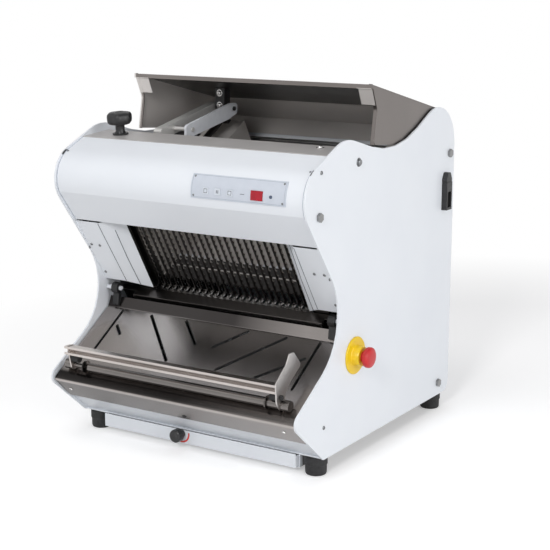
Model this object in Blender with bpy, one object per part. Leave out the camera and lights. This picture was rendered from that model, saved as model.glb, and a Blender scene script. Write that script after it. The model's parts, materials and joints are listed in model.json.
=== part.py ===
"""Table-top electric bread slicer: two counter-moving blade frames behind a round white hood,
a sloping stainless slice tray with a folding loaf stop, a loading chute with a pusher under a
hinged stainless lid, and a crank drive in the base.

Sizes are in millimetres. +X is the machine's right, -Y its front, +Z up, and the feet stand on Z = 0.
Shapes named after the blade plane use its own frame: X across, Y through the blades towards the
loading side, Z up along the blades, with Z = 0 at the top of the slicing opening.
"""

import math

import bmesh
import bpy
from mathutils import Matrix, Vector
from mathutils.geometry import tessellate_polygon

MM = 0.001
GAP = 0.3
SHEET = 2.0
WELD = 0.4

# Overall body
WIDTH = 620.0
PANEL_THICKNESS = 4.0
BODY_BOTTOM = 40.0
REAR_EDGE = 268.0
FRONT_FOOT_EDGE = -306.0
INNER = WIDTH / 2 - PANEL_THICKNESS
BETWEEN = INNER - GAP

# Side panel outline as (y, z, corner radius)
NOSE = (-420.0, 596.0, 69.0)
FRONT_BUMP = (-229.0, 679.0, 98.0)
RECESS = (-193.0, 290.0, 127.0)
LIP = (-426.3, 143.0, 19.5)
PANEL_FOOT = (FRONT_FOOT_EDGE, BODY_BOTTOM, 6.0)
SIDE_OUTLINE = (
    (REAR_EDGE, BODY_BOTTOM, 25.0),
    (REAR_EDGE, 758.0, 88.0),
    (-15.9, 622.0, 300.0),
    FRONT_BUMP,
    NOSE,
    RECESS,
    LIP,
    PANEL_FOOT,
)

# Base, feet and rear panel
BASE_THICKNESS = 3.0
BASE_TOP = BODY_BOTTOM + BASE_THICKNESS
BASE_FRONT = FRONT_FOOT_EDGE + 3.0
REAR_INSET = 10.0
REAR_PANEL_FACE = REAR_EDGE - REAR_INSET
BASE_OVERHANG = 0.5
BASE_REAR = REAR_PANEL_FACE + BASE_OVERHANG
REAR_PANEL_TOP = 632.0
CRUMB_FRONT = -290.0
CRUMB_REAR = 12.0
FOOT_SIDE_INSET = 30.0
FOOT_FRONT_INSET = 22.0
FOOT_REAR_INSET = 33.0
FOOT_X = WIDTH / 2 - FOOT_SIDE_INSET
FOOT_FRONT_Y = FRONT_FOOT_EDGE + FOOT_FRONT_INSET
FOOT_REAR_Y = REAR_EDGE - FOOT_REAR_INSET
FOOT_RADIUS = 24.0
FOOT_SOLE_RADIUS = 21.0

# Crumb drawer and its knob
DRAWER_FOOT_GAP = 8.0
DRAWER_HALF_WIDTH = FOOT_X - FOOT_RADIUS - DRAWER_FOOT_GAP
CRUMB_INSET = 33.0
CRUMB_HALF_WIDTH = DRAWER_HALF_WIDTH - CRUMB_INSET
DRAWER_FRONT = -311.5
DRAWER_LENGTH = 325.0
DRAWER_DEPTH = 27.4
DRAWER_WALL_GAP = 2.3
DRAWER_FRONT_RISE = 1.8
DRAWER_BOTTOM = BODY_BOTTOM - DRAWER_DEPTH
DRAWER_WALL_TOP = BODY_BOTTOM - DRAWER_WALL_GAP
DRAWER_FRONT_TOP = BODY_BOTTOM + DRAWER_FRONT_RISE
DRAWER_WALL = 1.5
RUNNER_CLEARANCE = 0.6
RUNNER_LIP = 10.0
RUNNER_THICKNESS = 2.0
RUNNER_FRONT = -298.0
RUNNER_REAR = 30.0
KNOB_X = -37.0
KNOB_DROP = 6.0
KNOB_Z = BODY_BOTTOM - KNOB_DROP
KNOB_RADIUS = 14.5
KNOB_REACH = 27.0
KNOB_NECK_RADIUS = 6.0
KNOB_NECK_LENGTH = 8.0

# Lower front panel
LOWER_PANEL_INSET = 6.5
LOWER_PANEL_LENGTH = 90.0
LOWER_PANEL_FLANGE = 16.0

# Hood, its steel top plate and the control plate
HOOD_INSET = 2.7
HOOD_SHEET = 2.0
HOOD_REAR_Y = -291.0
HOOD_JOINT = 1.1
HOOD_BEND_Z = 541.0
HOOD_BOTTOM = (-324.0, 475.0)
TOP_PLATE_REAR = (-205.0, 657.0)
TOP_PLATE_FRONT_Z = 650.3
HOPPER_WALL_BOTTOM = (-228.0, 491.0)
TOP_PLATE_FLANGE = 22.0
CONTROL_LEFT = 45.0
CONTROL_RIGHT = 266.5
CONTROL_LOW_ANGLE = -6.8
CONTROL_HIGH_ANGLE = 35.3
CONTROL_THICKNESS = 1.5
KEY_XS = (82.0, 110.0, 139.0)
KEY_ANGLE = 7.0
KEY_SIZE = 13.0
KEY_HEIGHT = 1.8
KEY_RISE = 1.1
KEY_CLEARANCE = 0.3
WINDOW_X = 201.0
WINDOW_WIDTH = 27.0
WINDOW_HEIGHT = 19.0
WINDOW_RISE = 1.0
LAMP_X = 233.0
LAMP_RADIUS = 3.2

# Clamp knob on the top plate
CLAMP_INSET = 67.6
CLAMP_X = CLAMP_INSET - INNER
CLAMP_Y = -244.8
CLAMP_STEM_RADIUS = 11.5
CLAMP_STEM_HEIGHT = 19.0
CLAMP_WASHER_RADIUS = 17.0
CLAMP_WASHER_HEIGHT = 3.0
CLAMP_HEAD_RADIUS = 28.0
CLAMP_HEAD_HEIGHT = 26.0
CLAMP_LOBES = 6
CLAMP_LOBE_DEPTH = 2.6

# Blade plane, measured at the top of the slicing opening
BLADE_TILT = 30.3
BLADE_TOP_Y = -246.0
BLADE_TOP_Z = 458.0
LOAF_FLOOR = -164.0

# Blade frames
BLADE_PITCH = 16.5
BLADE_COUNT = 25
BLADE_SPAN = (BLADE_COUNT - 1) * BLADE_PITCH / 2
BLADE_THICKNESS = 0.9
BLADE_HALF_DEPTH = 6.1
TOOTH_PITCH = 13.0
TOOTH_DEPTH = 2.6
FRAME_NEAR = 7.0
FRAME_FAR = 20.0
FRAME_TOP = 115.0
FRAME_RAIL_HEIGHT = 25.0
FRAME_BOTTOM = -245.0
FRAME_WINDOW_TOP = FRAME_TOP - FRAME_RAIL_HEIGHT
FRAME_WINDOW_BOTTOM = FRAME_BOTTOM + FRAME_RAIL_HEIGHT
BLADE_END_GAP = 4.0
BLADE_LOW = FRAME_WINDOW_BOTTOM + BLADE_END_GAP
BLADE_HIGH = FRAME_WINDOW_TOP - BLADE_END_GAP
HOLDER_NEAR = 3.0
HOLDER_FAR = 12.0
HOLDER_SLOPE = 6.0
HOLDER_SEAT = 3.0
FRAME_END_GAP = 14.0
FRAME_STILE = 36.0
FRAME_INNER = BLADE_SPAN + FRAME_END_GAP
FRAME_OUTER = FRAME_INNER + FRAME_STILE
FRAME_STROKE = 18.0
LUG_CLEARANCE = 1.0
LUG_WIDTH = 8.0
LUG_LENGTH = 60.0

# Frame guides
GUIDE_GRIP = 11.0
GUIDE_FACE = FRAME_OUTER - GUIDE_GRIP
GUIDE_DEPTH = 26.0
GUIDE_HALF_DEPTH = 26.0
GUIDE_WEB = 6.0
GUIDE_LOW = -150.0
GUIDE_HIGH = 150.0
GROOVE_CLEARANCE = 0.4

# Front guards beside the slicing opening
GUARD_TOP = (-320.0, 470.0)
GUARD_BOTTOM = (-225.0, 325.0)
GUARD_STRIP = 59.0
GUARD_BLADE_GAP = 5.0
GUARD_EDGE = INNER - GUARD_STRIP
GUARD_INNER = BLADE_SPAN + GUARD_BLADE_GAP
GUARD_RETURN_TOP = -10.0
GUARD_RETURN_BOTTOM = -160.0
GUARD_RETURN_DEPTH = 22.5
GUARD_FLANGE = 18.0

# Ramp below the blades
RAMP_INSET = 61.0
RAMP_HALF_WIDTH = INNER - RAMP_INSET
RAMP_NEAR = 21.7
RAMP_FAR = 49.6
RAMP_LIP = 9.0
RAMP_EAR_FAR = 36.0

# Slice tray, seen from the side, with its upper surface at the floor line
TRAY_SIDE_GAP = 3.0
TRAY_HALF_WIDTH = INNER - TRAY_SIDE_GAP
TRAY_HINGE = (-218.0, 305.0)
TRAY_TOP = (-213.0, 284.0)
TRAY_BEND = (-224.0, 261.0)
TRAY_LOW = (-397.0, 150.0)
TRAY_LIP = (-411.5, 138.0)
TRAY_FLANGE_END = (-361.0, 88.6)
HINGE_PIN_RADIUS = 5.0
HINGE_PIN_LENGTH = 38.0
HINGE_PIN_END = INNER - HINGE_PIN_LENGTH
HOOK_SETBACK = 4.0
HOOK_NEAR = HINGE_PIN_END + HOOK_SETBACK
HOOK_WIDTH = 16.0
HOOK_OUTER = 13.0
HOOK_CLEARANCE = 0.6
SLOT_WIDTH = 5.0
SLOT_CUT_DEPTH = 15.0
SLOTS = (
    ((256.0, -231.0), (256.0, -338.0)),
    ((-256.0, -231.0), (-256.0, -338.0)),
    ((175.0, -231.0), (64.0, -327.0)),
    ((-175.0, -231.0), (-64.0, -327.0)),
    ((80.0, -231.0), (23.0, -279.0)),
    ((-80.0, -231.0), (-23.0, -279.0)),
    ((243.0, -270.0), (162.0, -328.0)),
    ((-243.0, -268.0), (-221.0, -286.0)),
)

# Folding loaf stop on the tray
STOP_AXIS = (-388.0, 170.0)
STOP_TUBE_RADIUS = 9.5
STOP_SPINDLE_RADIUS = 5.0
STOP_SIDE_GAP = 19.0
STOP_END_REACH = TRAY_HALF_WIDTH - STOP_SIDE_GAP
STOP_END_LENGTH = 20.0
STOP_PLATE = STOP_END_REACH - STOP_END_LENGTH
STOP_PLATE_THICKNESS = 3.0
STOP_TUBE_LEFT_INSET = 42.0
STOP_TUBE_RIGHT_INSET = 6.0
STOP_TUBE_LEFT = STOP_TUBE_LEFT_INSET - STOP_PLATE
STOP_TUBE_RIGHT = STOP_PLATE - STOP_TUBE_RIGHT_INSET
STOP_RAIL_CENTRE = (-402.0, 206.0)
STOP_RAIL_SIZE = 18.0
STOP_RAIL_OVERHANG = 8.0
STOP_END_RADIUS = 11.0
BRACKET_OUTSET = 10.0
BRACKET_INSET = 27.0
BRACKET_LEFT = STOP_TUBE_LEFT - BRACKET_OUTSET
BRACKET_RIGHT = STOP_TUBE_RIGHT - BRACKET_INSET
BRACKET_THICKNESS = 3.0
BRACKET_RING = 4.0
BRACKET_CLEARANCE = 0.5
BUMPER_CENTRE = (-395.0, 187.0)
BUMPER_RADIUS = 8.4
BUMPER_LENGTH = 19.0
BUMPER_STUD_RADIUS = 3.0
NUT_RADIUS = 5.5
NUT_HEIGHT = 4.0
FIN_OUTLINE = (
    (-361.0, 268.0, 4.0),
    (-347.0, 267.0, 5.0),
    (-319.0, 236.0, 7.0),
    (-356.0, 212.0, 12.0),
    (-378.5, 190.0, 10.0),
)
FIN_FRONT = (
    (-409.0, 178.0, 10.0),
    (-412.5, 217.0, 4.0),
    (-391.0, 234.0, 8.0),
    (-373.0, 248.0, 10.0),
)

# Loading chute and pusher, in the blade plane's frame
PUSHER_EDGE = 5.0
PUSHER_SIDE_GAP = 4.0
PUSHER_HALF_WIDTH = BLADE_SPAN + PUSHER_EDGE
CHUTE_HALF_WIDTH = PUSHER_HALF_WIDTH + PUSHER_SIDE_GAP
CHUTE_DEPTH = 110.0
CHUTE_SIDE_GAP = 10.0
CHUTE_FLANGE = INNER - CHUTE_SIDE_GAP
CHUTE_START = 26.5
CHUTE_END = 470.0
CHUTE_TONGUE = 484.0
CHUTE_TAB_START = 60.0
CHUTE_TAB_END = 190.0
PUSHER_REST = 341.0
PUSHER_HEIGHT = 105.0
PUSHER_THICKNESS = 3.0
PUSHER_BAR = 20.0
PUSHER_SLOT = 3.0
PUSHER_ROD_OFFSET = 48.0
PUSHER_ROD_X = CHUTE_HALF_WIDTH + PUSHER_ROD_OFFSET
PUSHER_ROD_RADIUS = 8.0
PUSHER_ROD_HEIGHT = 15.0
PUSHER_SLEEVE = 13.0
PUSHER_SLEEVE_LENGTH = 22.0
PUSHER_BLOCK = 14.0
PUSHER_BLOCK_HALF_WIDTH = 12.0
PUSHER_BLOCK_CAP = 4.0
PUSHER_ROD_START = 30.0
PUSHER_ROD_END = 466.0

# Lid, drawn open
LID_HINGE_INSET = 26.0
LID_HINGE = (REAR_EDGE - LID_HINGE_INSET, 599.0)
LID_ROD_RADIUS = 6.0
LID_SIDE_GAP = 3.0
LID_HALF_WIDTH = INNER - LID_SIDE_GAP
LID_CHEEK_LOW = (20.0, 640.0, 30.0)
LID_CHEEK = 3.0
LID_FRONT = (-111.0, 774.0)
LID_FRONT_MIDDLE = (-88.0, 721.0)
LID_FRONT_LOW = (-101.0, 651.0)
LID_BEND = (203.0, 700.0)
LID_REAR_TOP = (254.0, 652.0)
LID_REAR_LOW = (254.0, 612.0)
LID_LIP = 9.0
LID_EDGE_RADIUS = 20.0
LID_CORNER_WIDTH = 35.0
LID_CORNER_TOP = 764.0
LID_CORNER_LOW = 731.0

# Hold-down arm and plate under the lid
HOLD_PIVOT = (50.0, 691.0)
HOLD_PIN_RADIUS = 5.0
HOLD_BRACKET_LEFT = -188.0
HOLD_BRACKET_RIGHT = -162.0
HOLD_BRACKET_HALF = 12.0
ARM_LEFT = -212.0
ARM_WIDTH = 20.0
ARM_HEIGHT = 24.0
ARM_END = (-150.0, 650.0)
ARM_ROD = (-112.0, 657.5)
HOLD_PLATE_X = -150.0
HOLD_PLATE_THICKNESS = 6.0
HOLD_PLATE_OUTLINE = (
    (64.0, 703.0, 8.0),
    (38.0, 704.0, 8.0),
    (-134.0, 668.0, 8.0),
    (-134.0, 638.0, 8.0),
    (30.0, 668.0, 14.0),
    (64.0, 680.0, 8.0),
)

# Crank drive in the base
CRANK_DROP = -393.0
CRANK_SHAFT_RADIUS = 10.0
CRANK_SHAFT_INSET = 4.0
CRANK_SHAFT_END = INNER - CRANK_SHAFT_INSET
DISC_RADIUS = 35.0
DISC_LEFT = 19.0
DISC_WIDTH = 12.0
ROD_RING = 10.0
ROD_LENGTH = 96.0
ROD_WIDTH = 20.0
ROD_EYE_RADIUS = 13.0
ROD_EYE_BORE = 6.0
BEARING_RADIUS = 25.0
BEARING_WIDTH = 19.0
PULLEY_INSET = 76.0
PULLEY_X = INNER - PULLEY_INSET
PULLEY_WIDTH = 18.0
PULLEY_RADIUS = 62.0
PULLEY_RIM = 4.0
PULLEY_RIM_WIDTH = 1.7
MOTOR_PULLEY_RADIUS = 26.0
BELT_WIDTH = 14.0
BELT_THICKNESS = 4.0
MOTOR_Y = 120.0
MOTOR_RISE = 75.0
MOTOR_Z = BASE_TOP + MOTOR_RISE
MOTOR_RADIUS = 65.0
MOTOR_PULLEY_GAP = 50.0
MOTOR_LENGTH = 240.0
MOTOR_RIGHT = PULLEY_X - MOTOR_PULLEY_GAP
MOTOR_LEFT = MOTOR_RIGHT - MOTOR_LENGTH
MOTOR_BEVEL = 10.0
MOTOR_SHAFT_RADIUS = 9.0
MOTOR_SHAFT_DEPTH = 25.0
MOTOR_FOOT_HALF = 52.0
MOTOR_FOOT_INSET = 31.0
MOTOR_FOOT_HEIGHT = 16.0

# Emergency stop and inlet on the right panel
ESTOP_Y = -183.0
ESTOP_Z = 229.0
ESTOP_PLATE_RADIUS = 39.0
ESTOP_PLATE_THICKNESS = 4.0
ESTOP_COLLAR_RADIUS = 22.0
ESTOP_COLLAR_REACH = 20.0
ESTOP_STEM_RADIUS = 11.0
ESTOP_HEAD_RADIUS = 21.5
ESTOP_HEAD_BACK = 27.5
ESTOP_REACH = 42.0
ESTOP_TRAVEL = 6.0
INLET_INSET = 47.0
INLET_Y = REAR_EDGE - INLET_INSET
INLET_WIDTH = 26.0
INLET_LOW = 474.0
INLET_HIGH = 537.0
INLET_DEPTH = 13.0
INLET_CAP_HEIGHT = 21.0

# Tie bars
TIE_RADIUS = 7.0
TIE_FRONT = (-330.0, 536.0)
TIE_REAR_INSET = 57.0
TIE_REAR_RISE = 27.0
TIE_REAR = (REAR_EDGE - TIE_REAR_INSET, BASE_TOP + TIE_REAR_RISE)
HEX_RADIUS = 9.5
HEX_HEIGHT = 6.0
BORE_CLEARANCE = 0.4

# The part's origin lies at the centre of its outline, on the floor
LEFT_REACH = -(WIDTH / 2 + GAP + HEX_HEIGHT)
RIGHT_REACH = WIDTH / 2 + ESTOP_REACH

AXES = {"x": Vector((1, 0, 0)), "y": Vector((0, 1, 0)), "z": Vector((0, 0, 1))}
ACROSS = {"x": Vector((0, 1, 0)), "y": Vector((0, 0, 1)), "z": Vector((1, 0, 0))}
PLANES = {"yz": (1, 2, 0), "xy": (0, 1, 2), "xz": (0, 2, 1)}


def material(name, colour, metallic, roughness):
    made = bpy.data.materials.new(name)
    made.use_nodes = True
    shader = made.node_tree.nodes["Principled BSDF"]
    shader.inputs["Base Color"].default_value = (*colour, 1)
    shader.inputs["Metallic"].default_value = metallic
    shader.inputs["Roughness"].default_value = roughness
    made.diffuse_color = (*colour, 1)
    return made


def corner_arc(before, corner, after, radius):
    """The centre of the arc that rounds a corner, and its points."""
    corner = Vector(corner)
    back = (Vector(before) - corner).normalized()
    ahead = (Vector(after) - corner).normalized()
    half = back.angle(ahead) / 2
    centre = corner + (back + ahead).normalized() * radius / math.sin(half)
    start = corner + back * radius / math.tan(half) - centre
    end = corner + ahead * radius / math.tan(half) - centre
    turn = start.angle_signed(end)
    steps = max(2, math.ceil(abs(math.degrees(turn)) / 11))
    spin = [Matrix.Rotation(-turn * step / steps, 2) for step in range(steps + 1)]
    return centre, [centre + rotation @ start for rotation in spin]


def rounded(corners, closed=True):
    """An outline through (u, v) or (u, v, radius) corners, with the rounded ones as arcs."""
    points = []
    for index, corner in enumerate(corners):
        at_end = not closed and index in (0, len(corners) - 1)
        if len(corner) == 2 or at_end:
            points.append(Vector(corner[:2]))
            continue
        before = corners[index - 1][:2]
        after = corners[(index + 1) % len(corners)][:2]
        points.extend(corner_arc(before, corner[:2], after, corner[2])[1])
    return points


def offset_path(path, distance, closed=False):
    """The path moved sideways, to the right of its direction where the distance is positive."""
    path = [Vector(point) for point in path]
    moved = []
    for index, point in enumerate(path):
        normals = []
        for start, end in ((index - 1, index), (index, index + 1)):
            if closed or (0 <= start and end < len(path)):
                along = (path[end % len(path)] - path[start]).normalized()
                normals.append(Vector((along.y, -along.x)))
        middle = sum(normals, Vector((0, 0))).normalized()
        moved.append(point + middle * distance / middle.dot(normals[0]))
    return moved


def sheet(path, thickness):
    """The outline of a bent sheet whose one face follows the path and whose other lies to its right."""
    return [Vector(point) for point in path] + offset_path(path, thickness)[::-1]


def circle(centre, radius, sides=24):
    turn = 2 * math.pi / sides
    u, v = centre
    return [(u + radius * math.cos(turn * i), v + radius * math.sin(turn * i)) for i in range(sides)]


def prism(outline, low, high, plane="yz", holes=()):
    """The outline, less its holes, carried from low to high along the third axis."""
    order = PLANES[plane]
    loops = [outline, *holes]
    shape = bmesh.new()
    layers = []
    for level in (low, high):
        layer = []
        for loop in loops:
            for u, v in loop:
                point = [0, 0, 0]
                for axis, value in zip(order, (u, v, level)):
                    point[axis] = value
                layer.append(shape.verts.new(point))
        layers.append(layer)
    flat = [[Vector((u, v, 0)) for u, v in loop] for loop in loops]
    for layer in layers:
        for triangle in tessellate_polygon(flat):
            shape.faces.new([layer[i] for i in triangle])
    start = 0
    for loop in loops:
        for i in range(len(loop)):
            a, b = start + i, start + (i + 1) % len(loop)
            shape.faces.new((layers[0][a], layers[0][b], layers[1][b], layers[1][a]))
        start += len(loop)
    bmesh.ops.recalc_face_normals(shape, faces=shape.faces)
    return shape


def turned(profile, centre, axis, sides=24):
    """A profile of (radius, distance) pairs spun about an axis; it is a ring where no radius is 0."""
    shape = bmesh.new()
    middle, along, out = Vector(centre), AXES[axis], ACROSS[axis]
    points = [shape.verts.new(middle + out * radius + along * reach) for radius, reach in profile]
    pairs = list(zip(points, points[1:]))
    if profile[0][0] > 0:
        pairs.append((points[-1], points[0]))
    edges = [shape.edges.new(pair) for pair in pairs]
    bmesh.ops.spin(
        shape,
        geom=points + edges,
        cent=middle,
        axis=along,
        angle=2 * math.pi,
        steps=sides,
        use_merge=True,
    )
    bmesh.ops.remove_doubles(shape, verts=shape.verts, dist=1e-4)
    bmesh.ops.recalc_face_normals(shape, faces=shape.faces)
    return shape


def rod(start, end, radius, sides=20):
    start, end = Vector(start), Vector(end)
    turn = (end - start).to_track_quat("Z", "Y").to_matrix().to_4x4()
    shape = bmesh.new()
    bmesh.ops.create_cone(
        shape,
        cap_ends=True,
        segments=sides,
        radius1=radius,
        radius2=radius,
        depth=(end - start).length,
        matrix=Matrix.Translation((start + end) / 2) @ turn,
    )
    return shape


def cross_rod(point, left, right, radius, sides=20):
    """A rod along X through a (y, z) point."""
    return rod((left, *point), (right, *point), radius, sides)


def block(xs, ys, zs):
    sides = [(min(pair), max(pair)) for pair in (xs, ys, zs)]
    centre = Vector([(low + high) / 2 for low, high in sides])
    size = Matrix.Diagonal([high - low for low, high in sides] + [1])
    shape = bmesh.new()
    bmesh.ops.create_cube(shape, size=1, matrix=Matrix.Translation(centre) @ size)
    return shape


def together(shapes):
    """Several shapes in one mesh, for one Boolean to join or cut at once."""
    whole = bmesh.new()
    for shape in shapes:
        mesh = bpy.data.meshes.new("shape")
        shape.to_mesh(mesh)
        shape.free()
        whole.from_mesh(mesh)
        bpy.data.meshes.remove(mesh)
    return whole


def place(name, shape, parent, pivot):
    """An object that holds the shape, in metres, with its origin at the pivot."""
    bmesh.ops.translate(shape, verts=shape.verts, vec=-Vector(pivot))
    bmesh.ops.scale(shape, verts=shape.verts, vec=(MM, MM, MM))
    mesh = bpy.data.meshes.new(name)
    shape.to_mesh(mesh)
    shape.free()
    mesh.shade_smooth()
    mesh.set_sharp_from_angle(angle=math.radians(32))
    obj = bpy.data.objects.new(name, mesh)
    obj.parent = parent
    obj.location = Vector(pivot) * MM
    bpy.context.scene.collection.objects.link(obj)
    return obj


def piece(name, shape, look, parent, pivot=(0, 0, 0), joins=(), cuts=()):
    """A named piece: its shape with others joined to it and then others cut from it."""
    obj = place(name, shape, parent, pivot)
    obj.data.materials.append(look)
    for operation, helpers in (("UNION", joins), ("DIFFERENCE", cuts)):
        for index, helper_shape in enumerate(helpers):
            helper = place(f"{name}_{operation.lower()}_{index}", helper_shape, parent, pivot)
            helper.hide_render = True
            helper.display_type = "WIRE"
            change = obj.modifiers.new(operation.title(), "BOOLEAN")
            change.operation = operation
            change.solver = "EXACT"
            change.object = helper
    return obj


def empty(name, parent, location, tilt=0.0):
    made = bpy.data.objects.new(name, None)
    made.parent = parent
    made.location = Vector(location) * MM
    made.rotation_euler = (math.radians(tilt), 0, 0)
    bpy.context.scene.collection.objects.link(made)
    return made


def blade_point(depth, up):
    """The (y, z) of a point given in the blade plane's frame."""
    tilt = math.radians(BLADE_TILT)
    y = BLADE_TOP_Y + depth * math.cos(tilt) - up * math.sin(tilt)
    z = BLADE_TOP_Z + depth * math.sin(tilt) + up * math.cos(tilt)
    return y, z


def beside(start, end, distance, inset):
    """A point at a distance from start towards end, moved to the right of that direction."""
    start, end = Vector(start[:2]), Vector(end[:2])
    along = (end - start).normalized()
    return start + along * distance + Vector((along.y, -along.x)) * inset


def mirrored(shape_of, sides=(-1, 1)):
    """The shape made for each side of the machine."""
    return [shape_of(side) for side in sides]


def nose_centre():
    return corner_arc(FRONT_BUMP[:2], NOSE[:2], RECESS[:2], NOSE[2])[0]


def nose_point(radius, angle):
    """A point on a circle about the hood's nose, with the angle upwards from straight ahead."""
    turn = math.radians(angle)
    return nose_centre() + Vector((-radius * math.cos(turn), radius * math.sin(turn)))


def side_panels(body, look):
    bores = [
        (TIE_FRONT, TIE_RADIUS + BORE_CLEARANCE),
        (TIE_REAR, TIE_RADIUS + BORE_CLEARANCE),
        (LID_HINGE, LID_ROD_RADIUS + BORE_CLEARANCE),
    ]
    holes = [circle(centre, radius, 20) for centre, radius in bores]
    for side, name in ((-1, "left_side_panel"), (1, "right_side_panel")):
        faces = sorted((side * INNER, side * WIDTH / 2))
        plate = prism(rounded(SIDE_OUTLINE), *faces, holes=holes)
        pin = cross_rod(TRAY_HINGE, side * HINGE_PIN_END, side * (INNER + 1), HINGE_PIN_RADIUS)
        piece(name, plate, look, body, joins=[pin])


def base_and_feet(body, white, rubber):
    base = prism(
        [(-BETWEEN, BASE_FRONT), (BETWEEN, BASE_FRONT), (BETWEEN, BASE_REAR), (-BETWEEN, BASE_REAR)],
        BODY_BOTTOM,
        BASE_TOP,
        "xy",
        [
            [
                (-CRUMB_HALF_WIDTH, CRUMB_FRONT),
                (CRUMB_HALF_WIDTH, CRUMB_FRONT),
                (CRUMB_HALF_WIDTH, CRUMB_REAR),
                (-CRUMB_HALF_WIDTH, CRUMB_REAR),
            ]
        ],
    )
    web = DRAWER_HALF_WIDTH + RUNNER_CLEARANCE
    lip_top = DRAWER_BOTTOM - GAP

    def runner(side):
        outline = [
            (side * web, BODY_BOTTOM + 1),
            (side * (web + RUNNER_THICKNESS), BODY_BOTTOM + 1),
            (side * (web + RUNNER_THICKNESS), lip_top - RUNNER_THICKNESS),
            (side * (web - RUNNER_LIP), lip_top - RUNNER_THICKNESS),
            (side * (web - RUNNER_LIP), lip_top),
            (side * web, lip_top),
        ]
        return prism(outline, RUNNER_FRONT, RUNNER_REAR, "xz")

    piece("base_plate", base, white, body, joins=mirrored(runner))
    height = BODY_BOTTOM - GAP
    profile = [
        (0, 0),
        (FOOT_SOLE_RADIUS, 0),
        (FOOT_SOLE_RADIUS + 1.5, height * 0.15),
        (FOOT_SOLE_RADIUS + 1.5, height * 0.5),
        (FOOT_RADIUS, height * 0.6),
        (FOOT_RADIUS, height),
        (0, height),
    ]
    for depth, y in (("front", FOOT_FRONT_Y), ("rear", FOOT_REAR_Y)):
        for side, hand in ((-1, "left"), (1, "right")):
            foot = turned(profile, (side * FOOT_X, y, 0), "z", 20)
            piece(f"foot_{depth}_{hand}", foot, rubber, body)


def lower_front_panel(body, look):
    lower = BASE_TOP + GAP
    rise = beside(PANEL_FOOT, LIP, 0, LOWER_PANEL_INSET)
    top = beside(PANEL_FOOT, LIP, LOWER_PANEL_LENGTH, LOWER_PANEL_INSET)
    slope = (top.x - rise.x) / (top.y - rise.y)
    foot_y = rise.x + (lower - rise.y) * slope
    path = [(foot_y + LOWER_PANEL_FLANGE, lower), (foot_y, lower), top]
    piece("lower_front_panel", prism(sheet(path, SHEET), -BETWEEN, BETWEEN), look, body)


def rear_panel(body, look):
    faces = (REAR_PANEL_FACE - SHEET, REAR_PANEL_FACE)
    panel = block((-BETWEEN, BETWEEN), faces, (BASE_TOP + GAP, REAR_PANEL_TOP))
    piece("rear_panel", panel, look, body)


def hood_path():
    """The hood's outer face, from the steel top plate over the nose to the shaded underside."""
    radius = NOSE[2] - HOOD_INSET
    top_line = (Vector(NOSE[:2]) - Vector(FRONT_BUMP[:2])).normalized()
    high = math.degrees(math.atan2(-top_line.x, -top_line.y))
    tangent = nose_point(radius, high)
    back = (HOOD_REAR_Y - tangent.x) / top_line.x
    start = tangent + top_line * back
    low = -math.degrees(math.asin((nose_centre().y - HOOD_BEND_Z) / radius))
    steps = 9
    angles = [high + (low - high) * step / steps for step in range(steps + 1)]
    return [start] + [nose_point(radius, angle) for angle in angles] + [Vector(HOOD_BOTTOM)]


def front_hood(body, look):
    outline = sheet(hood_path(), -HOOD_SHEET)
    piece("front_hood", prism(outline, -BETWEEN, BETWEEN), look, body)


def hood_top_plate(body, look):
    front = (HOOD_REAR_Y + HOOD_JOINT, TOP_PLATE_FRONT_Z)
    path = [HOPPER_WALL_BOTTOM, TOP_PLATE_REAR, front]
    plate = prism(sheet(path, -SHEET), -BETWEEN, BETWEEN)
    inner = offset_path([TOP_PLATE_REAR, front], -1)

    def side_flange(side):
        outline = [inner[0], inner[1], inner[1] - Vector((0, TOP_PLATE_FLANGE))]
        outline.append(inner[0] - Vector((0, TOP_PLATE_FLANGE)))
        return prism(outline, side * (BETWEEN - SHEET), side * BETWEEN)

    piece("hood_top_plate", plate, look, body, joins=mirrored(side_flange))


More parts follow.
